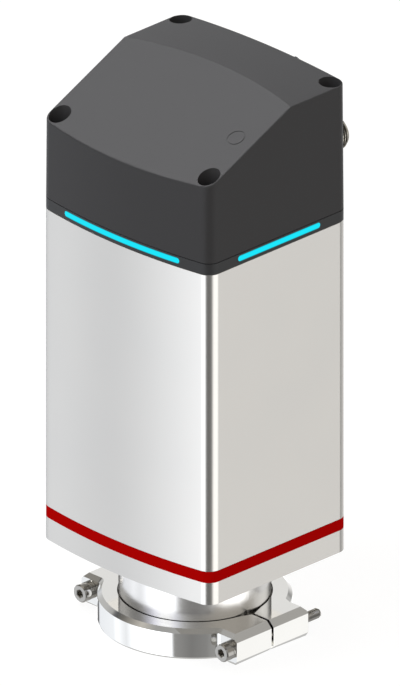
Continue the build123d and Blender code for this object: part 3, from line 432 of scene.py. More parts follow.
@dataclass(frozen=True)
class Thread:
    """A metric outside thread.

    Attributes:
        radius: outside radius in mm.
        pitch: rise of one turn in mm.
        depth_share: depth of the groove as a share of the pitch.
        rows_per_turn: rings of points in one turn.
    """

    radius: float
    pitch: float
    depth_share: float = 0.6
    rows_per_turn: int = 6

    @property
    def core(self) -> float:
        """Radius at the root of the thread in mm."""
        return self.radius - self.depth_share * self.pitch

    def stations(self, bottom: float, top: float) -> list[Station]:
        """Rings of the thread between two heights; it runs out into its core at both ends.

        Args:
            bottom: height of the first ring in mm.
            top: height of the last ring in mm.

        Returns:
            Height and radius of each ring.
        """
        rows = round((top - bottom) / self.pitch * self.rows_per_turn)
        heights = [bottom + (top - bottom) * i / rows for i in range(rows + 1)]
        return [(height, self.radius_at(height, bottom, top)) for height in heights]

    def radius_at(self, height: float, bottom: float, top: float) -> RadiusAt:
        """Radius round the thread at one height.

        Args:
            height: height of the ring in mm.
            bottom: lower end of the thread in mm.
            top: upper end of the thread in mm.

        Returns:
            Function from angle to radius.
        """
        run_out = min(1.0, (height - bottom) / self.pitch, (top - height) / self.pitch)

        def radius(angle: float) -> float:
            """Radius at one angle, a V between crest and root."""
            turn = (height / self.pitch - angle / TURN) % 1.0
            return self.core + (self.radius - self.core) * abs(2 * turn - 1) * run_out

        return radius


def rings_of(stations: Iterable[Station], count: int, place: Matrix) -> list[Ring]:
    """Turns heights and radii into rings of points.

    Args:
        stations: height and radius function of each ring, in mm.
        count: points in each ring.
        place: where the part's own axis and base lie, in metres.

    Returns:
        Rings of points in metres.
    """
    angles = [TURN * i / count for i in range(count)]
    return [[place @ polar(radius_at(a), a, height) for a in angles] for height, radius_at in stations]


def put_in_scene(name: str, data: bpy.types.ID) -> bpy.types.Object:
    """Makes an object of a mesh, camera or lamp and links it to the scene.

    Args:
        name: name of the new object.
        data: what it is made of.

    Returns:
        The object.
    """
    made = bpy.data.objects.new(name, data)
    bpy.context.scene.collection.objects.link(made)
    return made


def shade(mesh: bpy.types.Mesh) -> None:
    """Shades a mesh smooth, all but its sharp edges."""
    mesh.shade_smooth()
    mesh.set_sharp_from_angle(angle=math.radians(SHARP_ANGLE))


def loft(name: str, shapes: Iterable[list[Ring]], closed: bool = False) -> bpy.types.Object:
    """Skins rings of points into one closed mesh object.

    Args:
        name: name of the new object.
        shapes: for each shell, its rings in order, all with the same number of points.
        closed: joins the last ring to the first instead of capping both ends.

    Returns:
        The object, smooth between its sharp edges.
    """
    points: list[Vector] = []
    faces: list[tuple[int, ...]] = []
    for rings in shapes:
        start, count = len(points), len(rings[0])
        for ring in rings:
            points.extend(ring)
        spans = len(rings) if closed else len(rings) - 1
        for row in range(spans):
            low = start + row * count
            high = start + (row + 1) % len(rings) * count
            for i in range(count):
                j = (i + 1) % count
                faces.append((low + i, low + j, high + j, high + i))
        if not closed:
            faces.append(tuple(range(start + count - 1, start - 1, -1)))
            last = start + (len(rings) - 1) * count
            faces.append(tuple(range(last, last + count)))
    mesh = bpy.data.meshes.new(name)
    mesh.from_pydata(points, [], faces)
    mesh.validate()
    shade(mesh)
    return put_in_scene(name, mesh)


def keep_flats_flat(piece: bpy.types.Object) -> None:
    """Lets large faces decide the shading at their edges, so that flats beside arcs look flat.

    Args:
        piece: the piece that gets the modifier.
    """
    weighted = piece.modifiers.new("flats_stay_flat", "WEIGHTED_NORMAL")
    weighted.mode = "FACE_AREA"
    weighted.keep_sharp = True


def is_corner(edge: bmesh.types.BMEdge) -> bool:
    """Tells whether an edge is an outer corner that a maker breaks."""
    return edge.is_convex and edge.calc_face_angle(0.0) > math.radians(CORNER_ANGLE)


def on_ground(vert: bmesh.types.BMVert) -> bool:
    """Tells whether a point is one that the object stands on."""
    return vert.co.z < GROUND_BAND * MM


def bevel(form: bmesh.types.BMesh, edges: list[bmesh.types.BMEdge], width: float,
          steps: int) -> list[bmesh.types.BMVert]:
    """Bevels edges of a form.

    Args:
        form: the form that the edges belong to.
        edges: the edges to bevel.
        width: width on each side of an edge in mm.
        steps: faces across the bevel.

    Returns:
        The points of the new faces.
    """
    cut = bmesh.ops.bevel(form, geom=edges, offset=width * MM, offset_type="OFFSET", segments=steps,
                          profile=ROUND_PROFILE, affect="EDGES", clamp_overlap=True)
    return cut["verts"]


def chamfer_foot(form: bmesh.types.BMesh, height: float, depth: float, outside: float) -> None:
    """Chamfers the lower rim of a form, round its outside only.

    Args:
        form: the form, standing on the ground.
        height: height of the chamfer in mm.
        depth: how far it goes inwards at the ground in mm.
        outside: distance from the valve axis beyond which an edge is an outer one, in mm.
    """
    rim = [edge for edge in form.edges if is_corner(edge)
           and all(on_ground(vert) and vert.co.xy.length > outside * MM for vert in edge.verts)]
    feet = [vert for vert in bevel(form, rim, height, steps=1) if on_ground(vert)]
    for foot in feet:
        others = [edge.other_vert(foot) for edge in foot.link_edges]
        uppers = [other for other in others if other.co.z > height / 2 * MM]
        if uppers:
            foot.co.xy += (uppers[0].co.xy - foot.co.xy) * (1 - depth / height)


def with_broken_edges(node: str, name: str, width: float, foot: tuple[float, float],
                      outside: float) -> bpy.types.Object:
    """Takes over the form of a frame node, chamfers its lower rim and breaks its other outer corners.

    Args:
        node: name of the frame node.
        name: name of the new object.
        width: width of the broken edges in mm.
        foot: height and depth of the chamfer round the outside of its foot in mm.
        outside: distance from the valve axis beyond which the foot's edges are outer ones, in mm.

    Returns:
        The new object, crisp at its chamfers.
    """
    form = bmesh.new()
    form.from_mesh(frame["nodes"][node].data)
    bmesh.ops.remove_doubles(form, verts=form.verts, dist=WELD_DISTANCE * MM)
    bmesh.ops.dissolve_limit(form, angle_limit=math.radians(FLAT_ANGLE), verts=form.verts, edges=form.edges)
    chamfer_foot(form, *foot, outside)
    bevel(form, [edge for edge in form.edges if is_corner(edge)], width, steps=2)
    mesh = bpy.data.meshes.new(name)
    form.to_mesh(mesh)
    form.free()
    # The frame's own normals no longer fit the new faces.
    mesh.attributes.remove(mesh.attributes["custom_normal"])
    shade(mesh)
    made = put_in_scene(name, mesh)
    keep_flats_flat(made)
    return made


def along_y(x: float, y: float, z: float) -> Matrix:
    """Place whose own Z points to the back, along +Y, in metres."""
    return Matrix.Translation((x, y, z)) @ Matrix.Rotation(-math.pi / 2, 4, "X")


# Fitting and dressing


def fit(made: bpy.types.Object, finish: Finish, node: str) -> None:
    """Dresses a new piece, and lets it ride and stand in for its frame node.

    Args:
        made: the new piece, already in place.
        finish: its finish.
        node: frame node that it stands for; it rides on that node's body, and the node is hidden.
    """
    solid = frame["nodes"][node]
    made.data.materials.append(finish.material())
    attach(made, body_of(solid)[0])
    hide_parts(node)
    log.info("%s: %d points, %s", made.name, len(made.data.vertices), finish.name)


def dress(node: str, finish: Finish) -> None:
    """Gives a frame node its finish.

    Args:
        node: name of the frame node.
        finish: its finish.
    """
    for slot in frame["nodes"][node].material_slots:
        slot.material = finish.material()
    log.info("%s: %s", node, finish.name)


# Studio


class Gel(Enum):
    """Filter in front of a soft box: what it does to red, green and blue."""

    CLEAR = (1.0, 1.0, 1.0)
    DAYLIGHT = (0.968, 1.0, 1.058)
    BLUE = (0.97, 1.0, 1.18)
    AMBER = (1.045, 1.0, 0.93)


Stops = tuple[tuple[float, float, Gel], ...]


@dataclass(frozen=True)
class Studio:
    """Camera, floor, lamp and surroundings.

    The surroundings are what polished metal mirrors: soft boxes and dark flags. Each stop of a scale is an
    angle in degrees, the brightness there and the gel. The scales that go round start behind the object and
    pass its left, the camera at 0 and its right. Those of the ceiling go by height above the horizon.

    Attributes:
        azimuth: direction of the camera round the object, from the front towards the right, in degrees.
        elevation: height of the camera above the horizon in degrees.
        pixels: width and height of the picture.
        pixels_per_mm: scale of the picture.
        target: point that the middle of the picture shows, in mm.
        distance: from that point to the camera, in mm.
        key_direction: towards the key lamp.
        key_distance: from the same point to the key lamp, in mm.
        key_size: width of the key lamp in mm.
        key_power: its power in watts.
        ambient: brightness of the surroundings on faces that aren't metal.
        floor_size: width of the floor in mm.
        floor_bounce: share of the light that the floor throws back at the object.
        floor_camera_albedo: share of the light that the camera sees it throw back, shadows with it.
        floor_camera_glow: brightness added to that for the camera.
        below: scale round the horizon's lower side, which upright walls mirror.
        above: scale round its upper side, which level faces mirror.
        ceiling_back: scale of the ceiling behind the object's left: a soft box that the slope mirrors.
        ceiling_left: scale of the ceiling left of the camera: a dark flag, a warm strip and a grey field.
        ceiling_right: scale of the ceiling right of the camera, a warm grey field.
        back_seam: bearings in degrees between which ceiling_back goes over into ceiling_left.
        right_seam: bearings in degrees between which ceiling_left goes over into ceiling_right.
        horizon: heights in degrees between which below goes over into above.
        ceiling: heights in degrees between which above goes over into the ceiling.
        ground: heights in degrees between which the ground goes over into below.
        ground_grey: brightness of the ground, straight down.
    """

    azimuth: float = 45.0
    elevation: float = 24.95
    pixels: tuple[int, int] = (400, 686)
    pixels_per_mm: float = 3.064
    target: tuple[float, float, float] = (1.177, 1.177, 99.08)
    distance: float = 1500.0
    key_direction: tuple[float, float, float] = (-0.16, -0.36, 0.92)
    key_distance: float = 1100.0
    key_size: float = 500.0
    key_power: float = 4.0
    ambient: float = 0.54
    floor_size: float = 6000.0
    floor_bounce: float = 0.4
    floor_camera_albedo: float = 0.2
    floor_camera_glow: float = 0.89
    below: Stops = (
        (-180.0, 1.9, Gel.CLEAR), (-175.0, 1.9, Gel.CLEAR), (-172.0, 0.10, Gel.CLEAR),
        (-163.0, 0.10, Gel.CLEAR), (-154.0, 1.0, Gel.DAYLIGHT), (-114.0, 1.14, Gel.DAYLIGHT),
        (-107.0, 1.4, Gel.DAYLIGHT), (-98.0, 1.2, Gel.DAYLIGHT), (-90.0, 1.06, Gel.DAYLIGHT),
        (-86.0, 1.2, Gel.DAYLIGHT), (-72.0, 1.68, Gel.DAYLIGHT), (-60.0, 2.2, Gel.DAYLIGHT),
        (-30.0, 2.2, Gel.DAYLIGHT), (-25.0, 0.34, Gel.CLEAR), (-4.0, 0.24, Gel.CLEAR),
        (14.0, 0.29, Gel.CLEAR), (24.0, 0.40, Gel.CLEAR), (40.0, 2.0, Gel.CLEAR),
        (82.0, 2.0, Gel.CLEAR), (84.0, 1.2, Gel.CLEAR), (93.0, 1.2, Gel.CLEAR),
        (96.0, 0.45, Gel.CLEAR), (106.0, 0.45, Gel.CLEAR), (118.0, 0.85, Gel.CLEAR),
        (165.0, 0.95, Gel.CLEAR), (180.0, 1.9, Gel.CLEAR),
    )
    above: Stops = (
        (-180.0, 0.90, Gel.CLEAR), (-175.0, 0.90, Gel.CLEAR), (-172.0, 0.10, Gel.CLEAR),
        (-158.0, 0.10, Gel.CLEAR), (-152.0, 0.60, Gel.CLEAR), (-130.0, 0.57, Gel.CLEAR),
        (-112.0, 0.34, Gel.CLEAR), (-97.0, 0.30, Gel.CLEAR), (-86.0, 0.40, Gel.CLEAR),
        (-72.0, 0.95, Gel.BLUE), (-60.0, 1.8, Gel.BLUE), (-52.0, 2.2, Gel.DAYLIGHT),
        (-38.0, 2.2, Gel.DAYLIGHT), (-29.0, 1.6, Gel.BLUE), (-20.0, 0.95, Gel.DAYLIGHT),
        (-8.0, 0.56, Gel.CLEAR), (2.0, 0.43, Gel.CLEAR), (30.0, 0.54, Gel.AMBER),
        (60.0, 0.52, Gel.AMBER), (84.0, 0.46, Gel.AMBER), (94.0, 0.56, Gel.AMBER),
        (102.0, 0.95, Gel.CLEAR), (122.0, 1.20, Gel.CLEAR), (140.0, 1.00, Gel.CLEAR),
        (150.0, 0.10, Gel.CLEAR), (172.0, 0.10, Gel.CLEAR), (175.0, 0.90, Gel.CLEAR),
        (180.0, 0.90, Gel.CLEAR),
    )
    ceiling_back: Stops = (
        (36.0, 0.1, Gel.CLEAR), (42.0, 8.0, Gel.CLEAR), (72.0, 8.0, Gel.CLEAR), (80.0, 0.8, Gel.CLEAR),
    )
    ceiling_left: Stops = (
        (28.0, 0.40, Gel.BLUE), (32.0, 0.12, Gel.CLEAR), (37.0, 0.19, Gel.AMBER),
        (44.0, 0.40, Gel.AMBER), (49.0, 0.62, Gel.AMBER), (56.0, 0.42, Gel.CLEAR),
        (65.0, 0.45, Gel.CLEAR), (75.0, 0.55, Gel.CLEAR), (90.0, 0.80, Gel.CLEAR),
    )
    ceiling_right: Stops = ((30.0, 0.42, Gel.AMBER), (50.0, 0.46, Gel.CLEAR), (90.0, 0.80, Gel.CLEAR))
    back_seam: tuple[float, float] = (-120.0, -112.0)
    right_seam: tuple[float, float] = (10.0, 50.0)
    horizon: tuple[float, float] = (-8.0, 12.0)
    ceiling: tuple[float, float] = (27.0, 31.0)
    ground: tuple[float, float] = (-44.0, -34.0)
    ground_grey: float = 0.6

    def build(self) -> None:
        """Builds the camera, the floor, the lamp and the surroundings."""
        self.build_camera()
        self.build_floor()
        self.build_lamp()
        self.build_surroundings()
        view = bpy.context.scene.view_settings
        view.view_transform = "Standard"
        log.info("studio: camera at azimuth %.0f, elevation %.1f", self.azimuth, self.elevation)

    def build_camera(self) -> None:
        """Puts a parallel camera where the photograph was taken from."""
        data = bpy.data.cameras.new("photo_camera")
        data.type = "ORTHO"
        data.ortho_scale = max(self.pixels) / self.pixels_per_mm * MM
        camera = put_in_scene("photo_camera", data)
        turn, rise = math.radians(self.azimuth), math.radians(self.elevation)
        back = Vector((math.sin(turn) * math.cos(rise), -math.cos(turn) * math.cos(rise), math.sin(rise)))
        camera.location = (Vector(self.target) + back * self.distance) * MM
        camera.rotation_euler = (-back).to_track_quat("-Z", "Y").to_euler()
        bpy.context.scene.camera = camera

    def build_floor(self) -> None:
        """Lays a pale floor that looks white, keeps the object's shadow and isn't mirrored."""
        half = self.floor_size / 2 * MM
        mesh = bpy.data.meshes.new("studio_floor")
        corners = [(-half, -half, 0), (half, -half, 0), (half, half, 0), (-half, half, 0)]
        mesh.from_pydata(corners, [], [(0, 1, 2, 3)])
        floor = put_in_scene("studio_floor", mesh)
        material = bpy.data.materials.new("studio_floor_paint")
        material.use_nodes = True
        tree = material.node_tree
        tree.nodes.clear()
        seen = add(tree, "ShaderNodeLightPath").outputs["Is Camera Ray"]
        albedo = add(tree, "ShaderNodeMapRange", {
            "Value": seen, "To Min": self.floor_bounce, "To Max": self.floor_camera_albedo})
        paint = add(tree, "ShaderNodeBsdfDiffuse", {"Color": albedo.outputs["Result"]})
        strength = add(tree, "ShaderNodeMath", {0: seen, 1: self.floor_camera_glow}, operation="MULTIPLY")
        glow = add(tree, "ShaderNodeEmission", {"Strength": strength.outputs["Value"]})
        both = add(tree, "ShaderNodeAddShader", {0: paint.outputs["BSDF"], 1: glow.outputs["Emission"]})
        add(tree, "ShaderNodeOutputMaterial", {"Surface": both.outputs["Shader"]})
        mesh.materials.append(material)
        floor.visible_glossy = False
        floor.visible_transmission = False

    def build_lamp(self) -> None:
        """Hangs the large soft key lamp above the front."""
        data = bpy.data.lights.new("key_lamp", "AREA")
        data.shape = "DISK"
        data.size = self.key_size * MM
        data.energy = self.key_power
        data.color = Gel.DAYLIGHT.value
        lamp = put_in_scene("key_lamp", data)
        direction = Vector(self.key_direction).normalized()
        lamp.location = (Vector(self.target) + direction * self.key_distance) * MM
        lamp.rotation_euler = (-direction).to_track_quat("-Z", "Y").to_euler()
        lamp.visible_glossy = False

    def build_surroundings(self) -> None:
        """Paints the studio round the object: white to the camera, soft boxes and flags to metal."""
        world = bpy.data.worlds.new("studio")
        bpy.context.scene.world = world
        world.use_nodes = True
        tree = world.node_tree
        tree.nodes.clear()
        path = add(tree, "ShaderNodeLightPath")
        mirrored = self.mirrored_studio(tree)
        ambient = (*[self.ambient * share for share in Gel.AMBER.value], 1.0)
        around = add(tree, "ShaderNodeMix", {
            "Factor": path.outputs["Is Glossy Ray"], "A": ambient, "B": mirrored,
        }, data_type="RGBA")
        seen = add(tree, "ShaderNodeMix", {
            "Factor": path.outputs["Is Camera Ray"], "A": around.outputs["Result"], "B": WHITE,
        }, data_type="RGBA")
        light = add(tree, "ShaderNodeBackground", {"Color": seen.outputs["Result"]})
        add(tree, "ShaderNodeOutputWorld", {"Surface": light.outputs["Background"]})

    def mirrored_studio(self, tree: bpy.types.NodeTree) -> bpy.types.NodeSocket:
        """Builds what polished metal mirrors.

        Args:
            tree: node tree of the world.

        Returns:
            Colour by direction.
        """
        direction = add(tree, "ShaderNodeTexCoord").outputs["Generated"]
        split = add(tree, "ShaderNodeSeparateXYZ", {"Vector": direction})
        front = add(tree, "ShaderNodeMath", {0: split.outputs["Y"], 1: -1.0}, operation="MULTIPLY")
        bearing = add(tree, "ShaderNodeMath", {
            0: split.outputs["X"], 1: front.outputs["Value"]}, operation="ARCTAN2")
        turned = add(tree, "ShaderNodeMath", {
            0: bearing.outputs["Value"], 1: math.radians(-self.azimuth)}, operation="ADD")
        wrapped = add(tree, "ShaderNodeMath", {
            0: turned.outputs["Value"], 1: math.pi, 2: -math.pi}, operation="WRAP")
        share = add(tree, "ShaderNodeMapRange", {
            "Value": wrapped.outputs["Value"], "From Min": -math.pi, "From Max": math.pi})
        circle, quarter = (-180.0, 180.0), (0.0, 90.0)
        below = self.scale(tree, share.outputs["Result"], self.below, circle)
        above = self.scale(tree, share.outputs["Result"], self.above, circle)
        rise = add(tree, "ShaderNodeMath", {0: split.outputs["Z"]}, operation="ARCSINE").outputs["Value"]
        height = add(tree, "ShaderNodeMapRange", {"Value": rise, "From Max": math.pi / 2})
        back = self.scale(tree, height.outputs["Result"], self.ceiling_back, quarter)
        left = self.scale(tree, height.outputs["Result"], self.ceiling_left, quarter)
        right = self.scale(tree, height.outputs["Result"], self.ceiling_right, quarter)
        lit = self.cross_fade(tree, wrapped.outputs["Value"], self.back_seam, back, left)
        overhead = self.cross_fade(tree, wrapped.outputs["Value"], self.right_seam, lit, right)
        ground = (self.ground_grey,) * 3 + (1.0,)
        lower = self.cross_fade(tree, rise, self.ground, ground, below)
        sides = self.cross_fade(tree, rise, self.horizon, lower, above)
        return self.cross_fade(tree, rise, self.ceiling, sides, overhead)

    def cross_fade(self, tree: bpy.types.NodeTree, angle: bpy.types.NodeSocket, band: tuple[float, float],
                   under: bpy.types.NodeSocket | Rgba, over: bpy.types.NodeSocket) -> bpy.types.NodeSocket:
        """Goes softly from one colour to another with an angle.

        Args:
            tree: node tree of the world.
            angle: height above the horizon, or bearing from the camera, in radians.
            band: angles in degrees between which it changes.
            under: colour below the band.
            over: colour above the band.

        Returns:
            The blended colour.
        """
        low, high = band
        share = add(tree, "ShaderNodeMapRange", {
            "Value": angle, "From Min": math.radians(low), "From Max": math.radians(high)},
            interpolation_type="SMOOTHSTEP")
        both = add(tree, "ShaderNodeMix", {"Factor": share.outputs["Result"], "A": under, "B": over},
                   data_type="RGBA")
        return both.outputs["Result"]

    def scale(self, tree: bpy.types.NodeTree, place: bpy.types.NodeSocket, stops: Stops,
              span: tuple[float, float]) -> bpy.types.NodeSocket:
        """Builds a scale of colour from stops.

        Args:
            tree: node tree of the world.
            place: position on the scale from 0 to 1.
            stops: angle in degrees, brightness and gel of each stop.
            span: angles in degrees at 0 and at 1 on the scale.

        Returns:
            Colour at that position.
        """
        low, high = span
        node = add(tree, "ShaderNodeValToRGB", {"Fac": place})
        elements = node.color_ramp.elements
        halfway = 0.5
        while len(elements) < len(stops):
            elements.new(halfway)
        for element, (angle, grey, gel) in zip(elements, stops):
            element.position = (angle - low) / (high - low)
            element.color = (*[grey * share for share in gel.value], 1.0)
        return node.outputs["Color"]


# The object


@dataclass(frozen=True)
class Outline:
    """Plan outline of the housing: straight sides and back, a bowed front and rounded corners, in mm.

    Attributes:
        side: half the width.
        back: reach of the back from the valve axis.
        front: reach of the bowed front from the valve axis.
        bow: radius of the front.
        corner: radius of the corners.
        bow_steps: straight steps that the front is drawn in.
        corner_steps: straight steps that a corner is drawn in.
        nearest: points nearer to each other than this are one.
    """

    side: float
    back: float
    front: float
    bow: float = 213.0
    corner: float = 4.5
    bow_steps: int = 56
    corner_steps: int = 12
    nearest: float = 0.01

    def ring(self, inset: float, height: float) -> Ring:
        """Points round the outline, moved inwards, at one height.

        Args:
            inset: how far the outline moves inwards in mm.
            height: height of the ring in mm.

        Returns:
            Points in metres, anticlockwise from the left front corner.
        """
        round_off = self.corner - inset
        across, deep = self.side - self.corner, self.back - self.corner
        centre = self.bow - self.front
        reach = self.bow - self.corner
        forward = centre - math.sqrt(reach ** 2 - across ** 2)
        swing = math.atan2(forward - centre, across)
        arcs = [
            (-across, forward, round_off, -math.pi, -math.pi - swing, self.corner_steps),
            (0.0, centre, self.bow - inset, -math.pi - swing, swing, self.bow_steps),
            (across, forward, round_off, swing, 0.0, self.corner_steps),
            (across, deep, round_off, 0.0, math.pi / 2, self.corner_steps),
            (-across, deep, round_off, math.pi / 2, math.pi, self.corner_steps),
        ]
        points = []
        for x, y, radius, first, last, steps in arcs:
            for i in range(steps + 1):
                angle = first + (last - first) * i / steps
                point = Vector((x + radius * math.cos(angle), y + radius * math.sin(angle), height)) * MM
                if not points or (point - points[-1]).length > self.nearest * MM:
                    points.append(point)
        return points


@dataclass(frozen=True)
class Housing:
    """Neck, base plate, trim band, sleeve and the long bolts that hold them.

    Attributes:
        sleeve_wall: thickness of the sleeve's sheet in mm.
        sleeve_edge: width of its broken edges in mm.
    """

    sleeve_wall: float = 1.5
    sleeve_edge: float = 0.2

    def build(self) -> None:
        """Builds the sleeve and dresses the housing's other pieces."""
        self.build_sleeve()
        dress("neck", TURNED_STAINLESS)
        dress("neck_seal", BLACK_EPDM)
        dress("base_plate", BRUSHED_STAINLESS)
        dress("trim_band", RED_SILICONE)
        dress("tie_bolts", BLACK_SCREW)
        dress("sleeve_seal", BLACK_EPDM)
        dress("cover_seal", BLACK_EPDM)

    def build_sleeve(self) -> None:
        """Builds the bent sheet sleeve with finely stepped arcs and broken edges."""
        low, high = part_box("housing_sleeve")
        outline = Outline(high.x / MM, high.y / MM, -low.y / MM)
        bottom, top, edge, wall = low.z / MM, high.z / MM, self.sleeve_edge, self.sleeve_wall
        section = [
            (edge, bottom), (0.0, bottom + edge), (0.0, top - edge), (edge, top),
            (wall, top), (wall, bottom),
        ]
        rings = [outline.ring(inset, height) for inset, height in section]
        sleeve = loft("bent_sheet_sleeve", [rings], closed=True)
        keep_flats_flat(sleeve)
        fit(sleeve, BRUSHED_STAINLESS, "housing_sleeve")


@dataclass(frozen=True)
class Head:
    """Light frame, light bars, cover and vent cap.

    Attributes:
        vent_height: height of the vent cap over the cover's back, in mm.
        vent_shank: radius of the shank below it in mm.
        vent_edge: width of its lower edge and of the recess's slope, in mm.
        vent_chamfer: width of the chamfer round its face in mm.
        vent_rim: width of the flat rim inside that chamfer in mm.
        vent_recess: depth of the recess over its membrane in mm.
        vent_grips: number of finger grips round its side.
        vent_grip_depth: depth of a grip in mm.
        vent_points: points in each ring of its mesh.
    """

    vent_height: float = 3.7
    vent_shank: float = 1.5
    vent_edge: float = 0.25
    vent_chamfer: float = 0.6
    vent_rim: float = 0.4
    vent_recess: float = 0.5
    vent_grips: int = 10
    vent_grip_depth: float = 0.18
    vent_points: int = 120

    def build(self) -> None:
        """Builds the vent cap and gives the head's other pieces their finishes."""
        self.build_vent()
        dress("light_frame", MOULDED_POLYCARBONATE)
        dress("light_bars", OPAL_ACRYLIC)
        dress("light_board", SOLDER_MASK)
        dress("light_emitters", EMITTER_CERAMIC)
        dress("top_cover", MOULDED_PBT)

    def build_vent(self) -> None:
        """Builds the vent cap with gripped sides and the recess over its membrane."""
        low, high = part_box("vent_plug")
        radius = (high.x - low.x) / 2 / MM
        seat = high.y / MM - self.vent_height
        tail = low.y / MM - seat
        place = along_y((low.x + high.x) / 2, seat * MM, (low.z + high.z) / 2)
        face = radius - self.vent_chamfer
        gripped = self.gripped(radius)
        stations = [
            (tail, round_at(self.vent_shank)), (0.0, round_at(self.vent_shank)),
            (0.0, round_at(radius - self.vent_edge)), (self.vent_edge, gripped),
            (self.vent_height - self.vent_chamfer, gripped), (self.vent_height, round_at(face)),
            (self.vent_height, round_at(face - self.vent_rim)),
            (self.vent_height - self.vent_recess, round_at(face - self.vent_rim - self.vent_edge)),
        ]
        vent = loft("vent_cap", [rings_of(stations, self.vent_points, place)])
        fit(vent, VENT_POLYAMIDE, "vent_plug")

    def gripped(self, radius: float) -> RadiusAt:
        """Radius of a cap with shallow finger grips round its side."""
        return lambda angle: radius - self.vent_grip_depth * max(0.0, math.cos(self.vent_grips * angle))


@dataclass(frozen=True)
class Connectors:
    """The two round connectors on the back of the cover.

    Sizes are in mm, and heights go outwards from the face of the cover along a connector's own axis.

    Attributes:
        thread: the outside thread.
        reach: height of the open end.
        collar_radius: radius of the collar on the cover.
        collar_height: height of the collar.
        shank_radius: radius of the part inside the cover.
        shank_depth: how far that goes in.
        bore_radius: radius of the open socket.
        bore_depth: depth of the socket.
        core_radius: radius of the hole behind it that holds the contact carrier.
        seal_inner: inner radius of the seal's groove under the collar.
        seal_width: width of the groove.
        seal_height: depth of the groove.
        edge: width of the broken edges.
        thread_start: height at which the thread begins.
        thread_end: height at which it ends.
        points: points in each ring of the mesh.
    """

    thread: Thread = Thread(6.0, 1.0)
    reach: float = 11.3
    collar_radius: float = 7.2
    collar_height: float = 1.8
    shank_radius: float = 5.3
    shank_depth: float = 8.0
    bore_radius: float = 4.75
    bore_depth: float = 7.5
    core_radius: float = 4.2
    seal_inner: float = 5.5
    seal_width: float = 0.9
    seal_height: float = 0.6
    edge: float = 0.3
    thread_start: float = 2.1
    thread_end: float = 10.9
    points: int = 72

    def build(self) -> None:
        """Builds both shells and dresses what stays from the frame."""
        for name in ("power", "signal"):
            self.build_shell(name)
            dress(f"{name}_insert", MOULDED_POLYAMIDE)
            dress(f"{name}_pins", GOLD_PLATE)
        dress("connector_seals", BLACK_EPDM)
        dress("ring_nuts", NICKEL_BRASS)

    def build_shell(self, name: str) -> None:
        """Builds one threaded shell in place of its plain solid.

        Args:
            name: which connector, power or signal.
        """
        node = f"{name}_connector"
        low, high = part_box(node)
        place = along_y((low.x + high.x) / 2, high.y - self.reach * MM, (low.z + high.z) / 2)
        seal_outer = self.seal_inner + self.seal_width
        floor = self.reach - self.bore_depth
        below = [
            (self.core_radius, -self.shank_depth), (self.shank_radius, -self.shank_depth),
            (self.shank_radius, 0.0), (self.seal_inner, 0.0), (self.seal_inner, self.seal_height),
            (seal_outer, self.seal_height), (seal_outer, 0.0), (self.collar_radius - self.edge, 0.0),
            (self.collar_radius, self.edge), (self.collar_radius, self.collar_height - self.edge),
            (self.collar_radius - self.edge, self.collar_height), (self.thread.core, self.collar_height),
        ]
        above = [
            (self.thread.core - self.edge / 2, self.reach),
            (self.bore_radius + self.edge / 2, self.reach),
            (self.bore_radius, self.reach - self.edge),
            (self.bore_radius, floor),
            (self.core_radius, floor),
        ]
        stations = [(height, round_at(radius)) for radius, height in below]
        stations += self.thread.stations(self.thread_start, self.thread_end)
        stations += [(height, round_at(radius)) for radius, height in above]
        shell = loft(f"{name}_connector_shell", [rings_of(stations, self.points, place)], closed=True)
        fit(shell, NICKEL_BRASS, node)


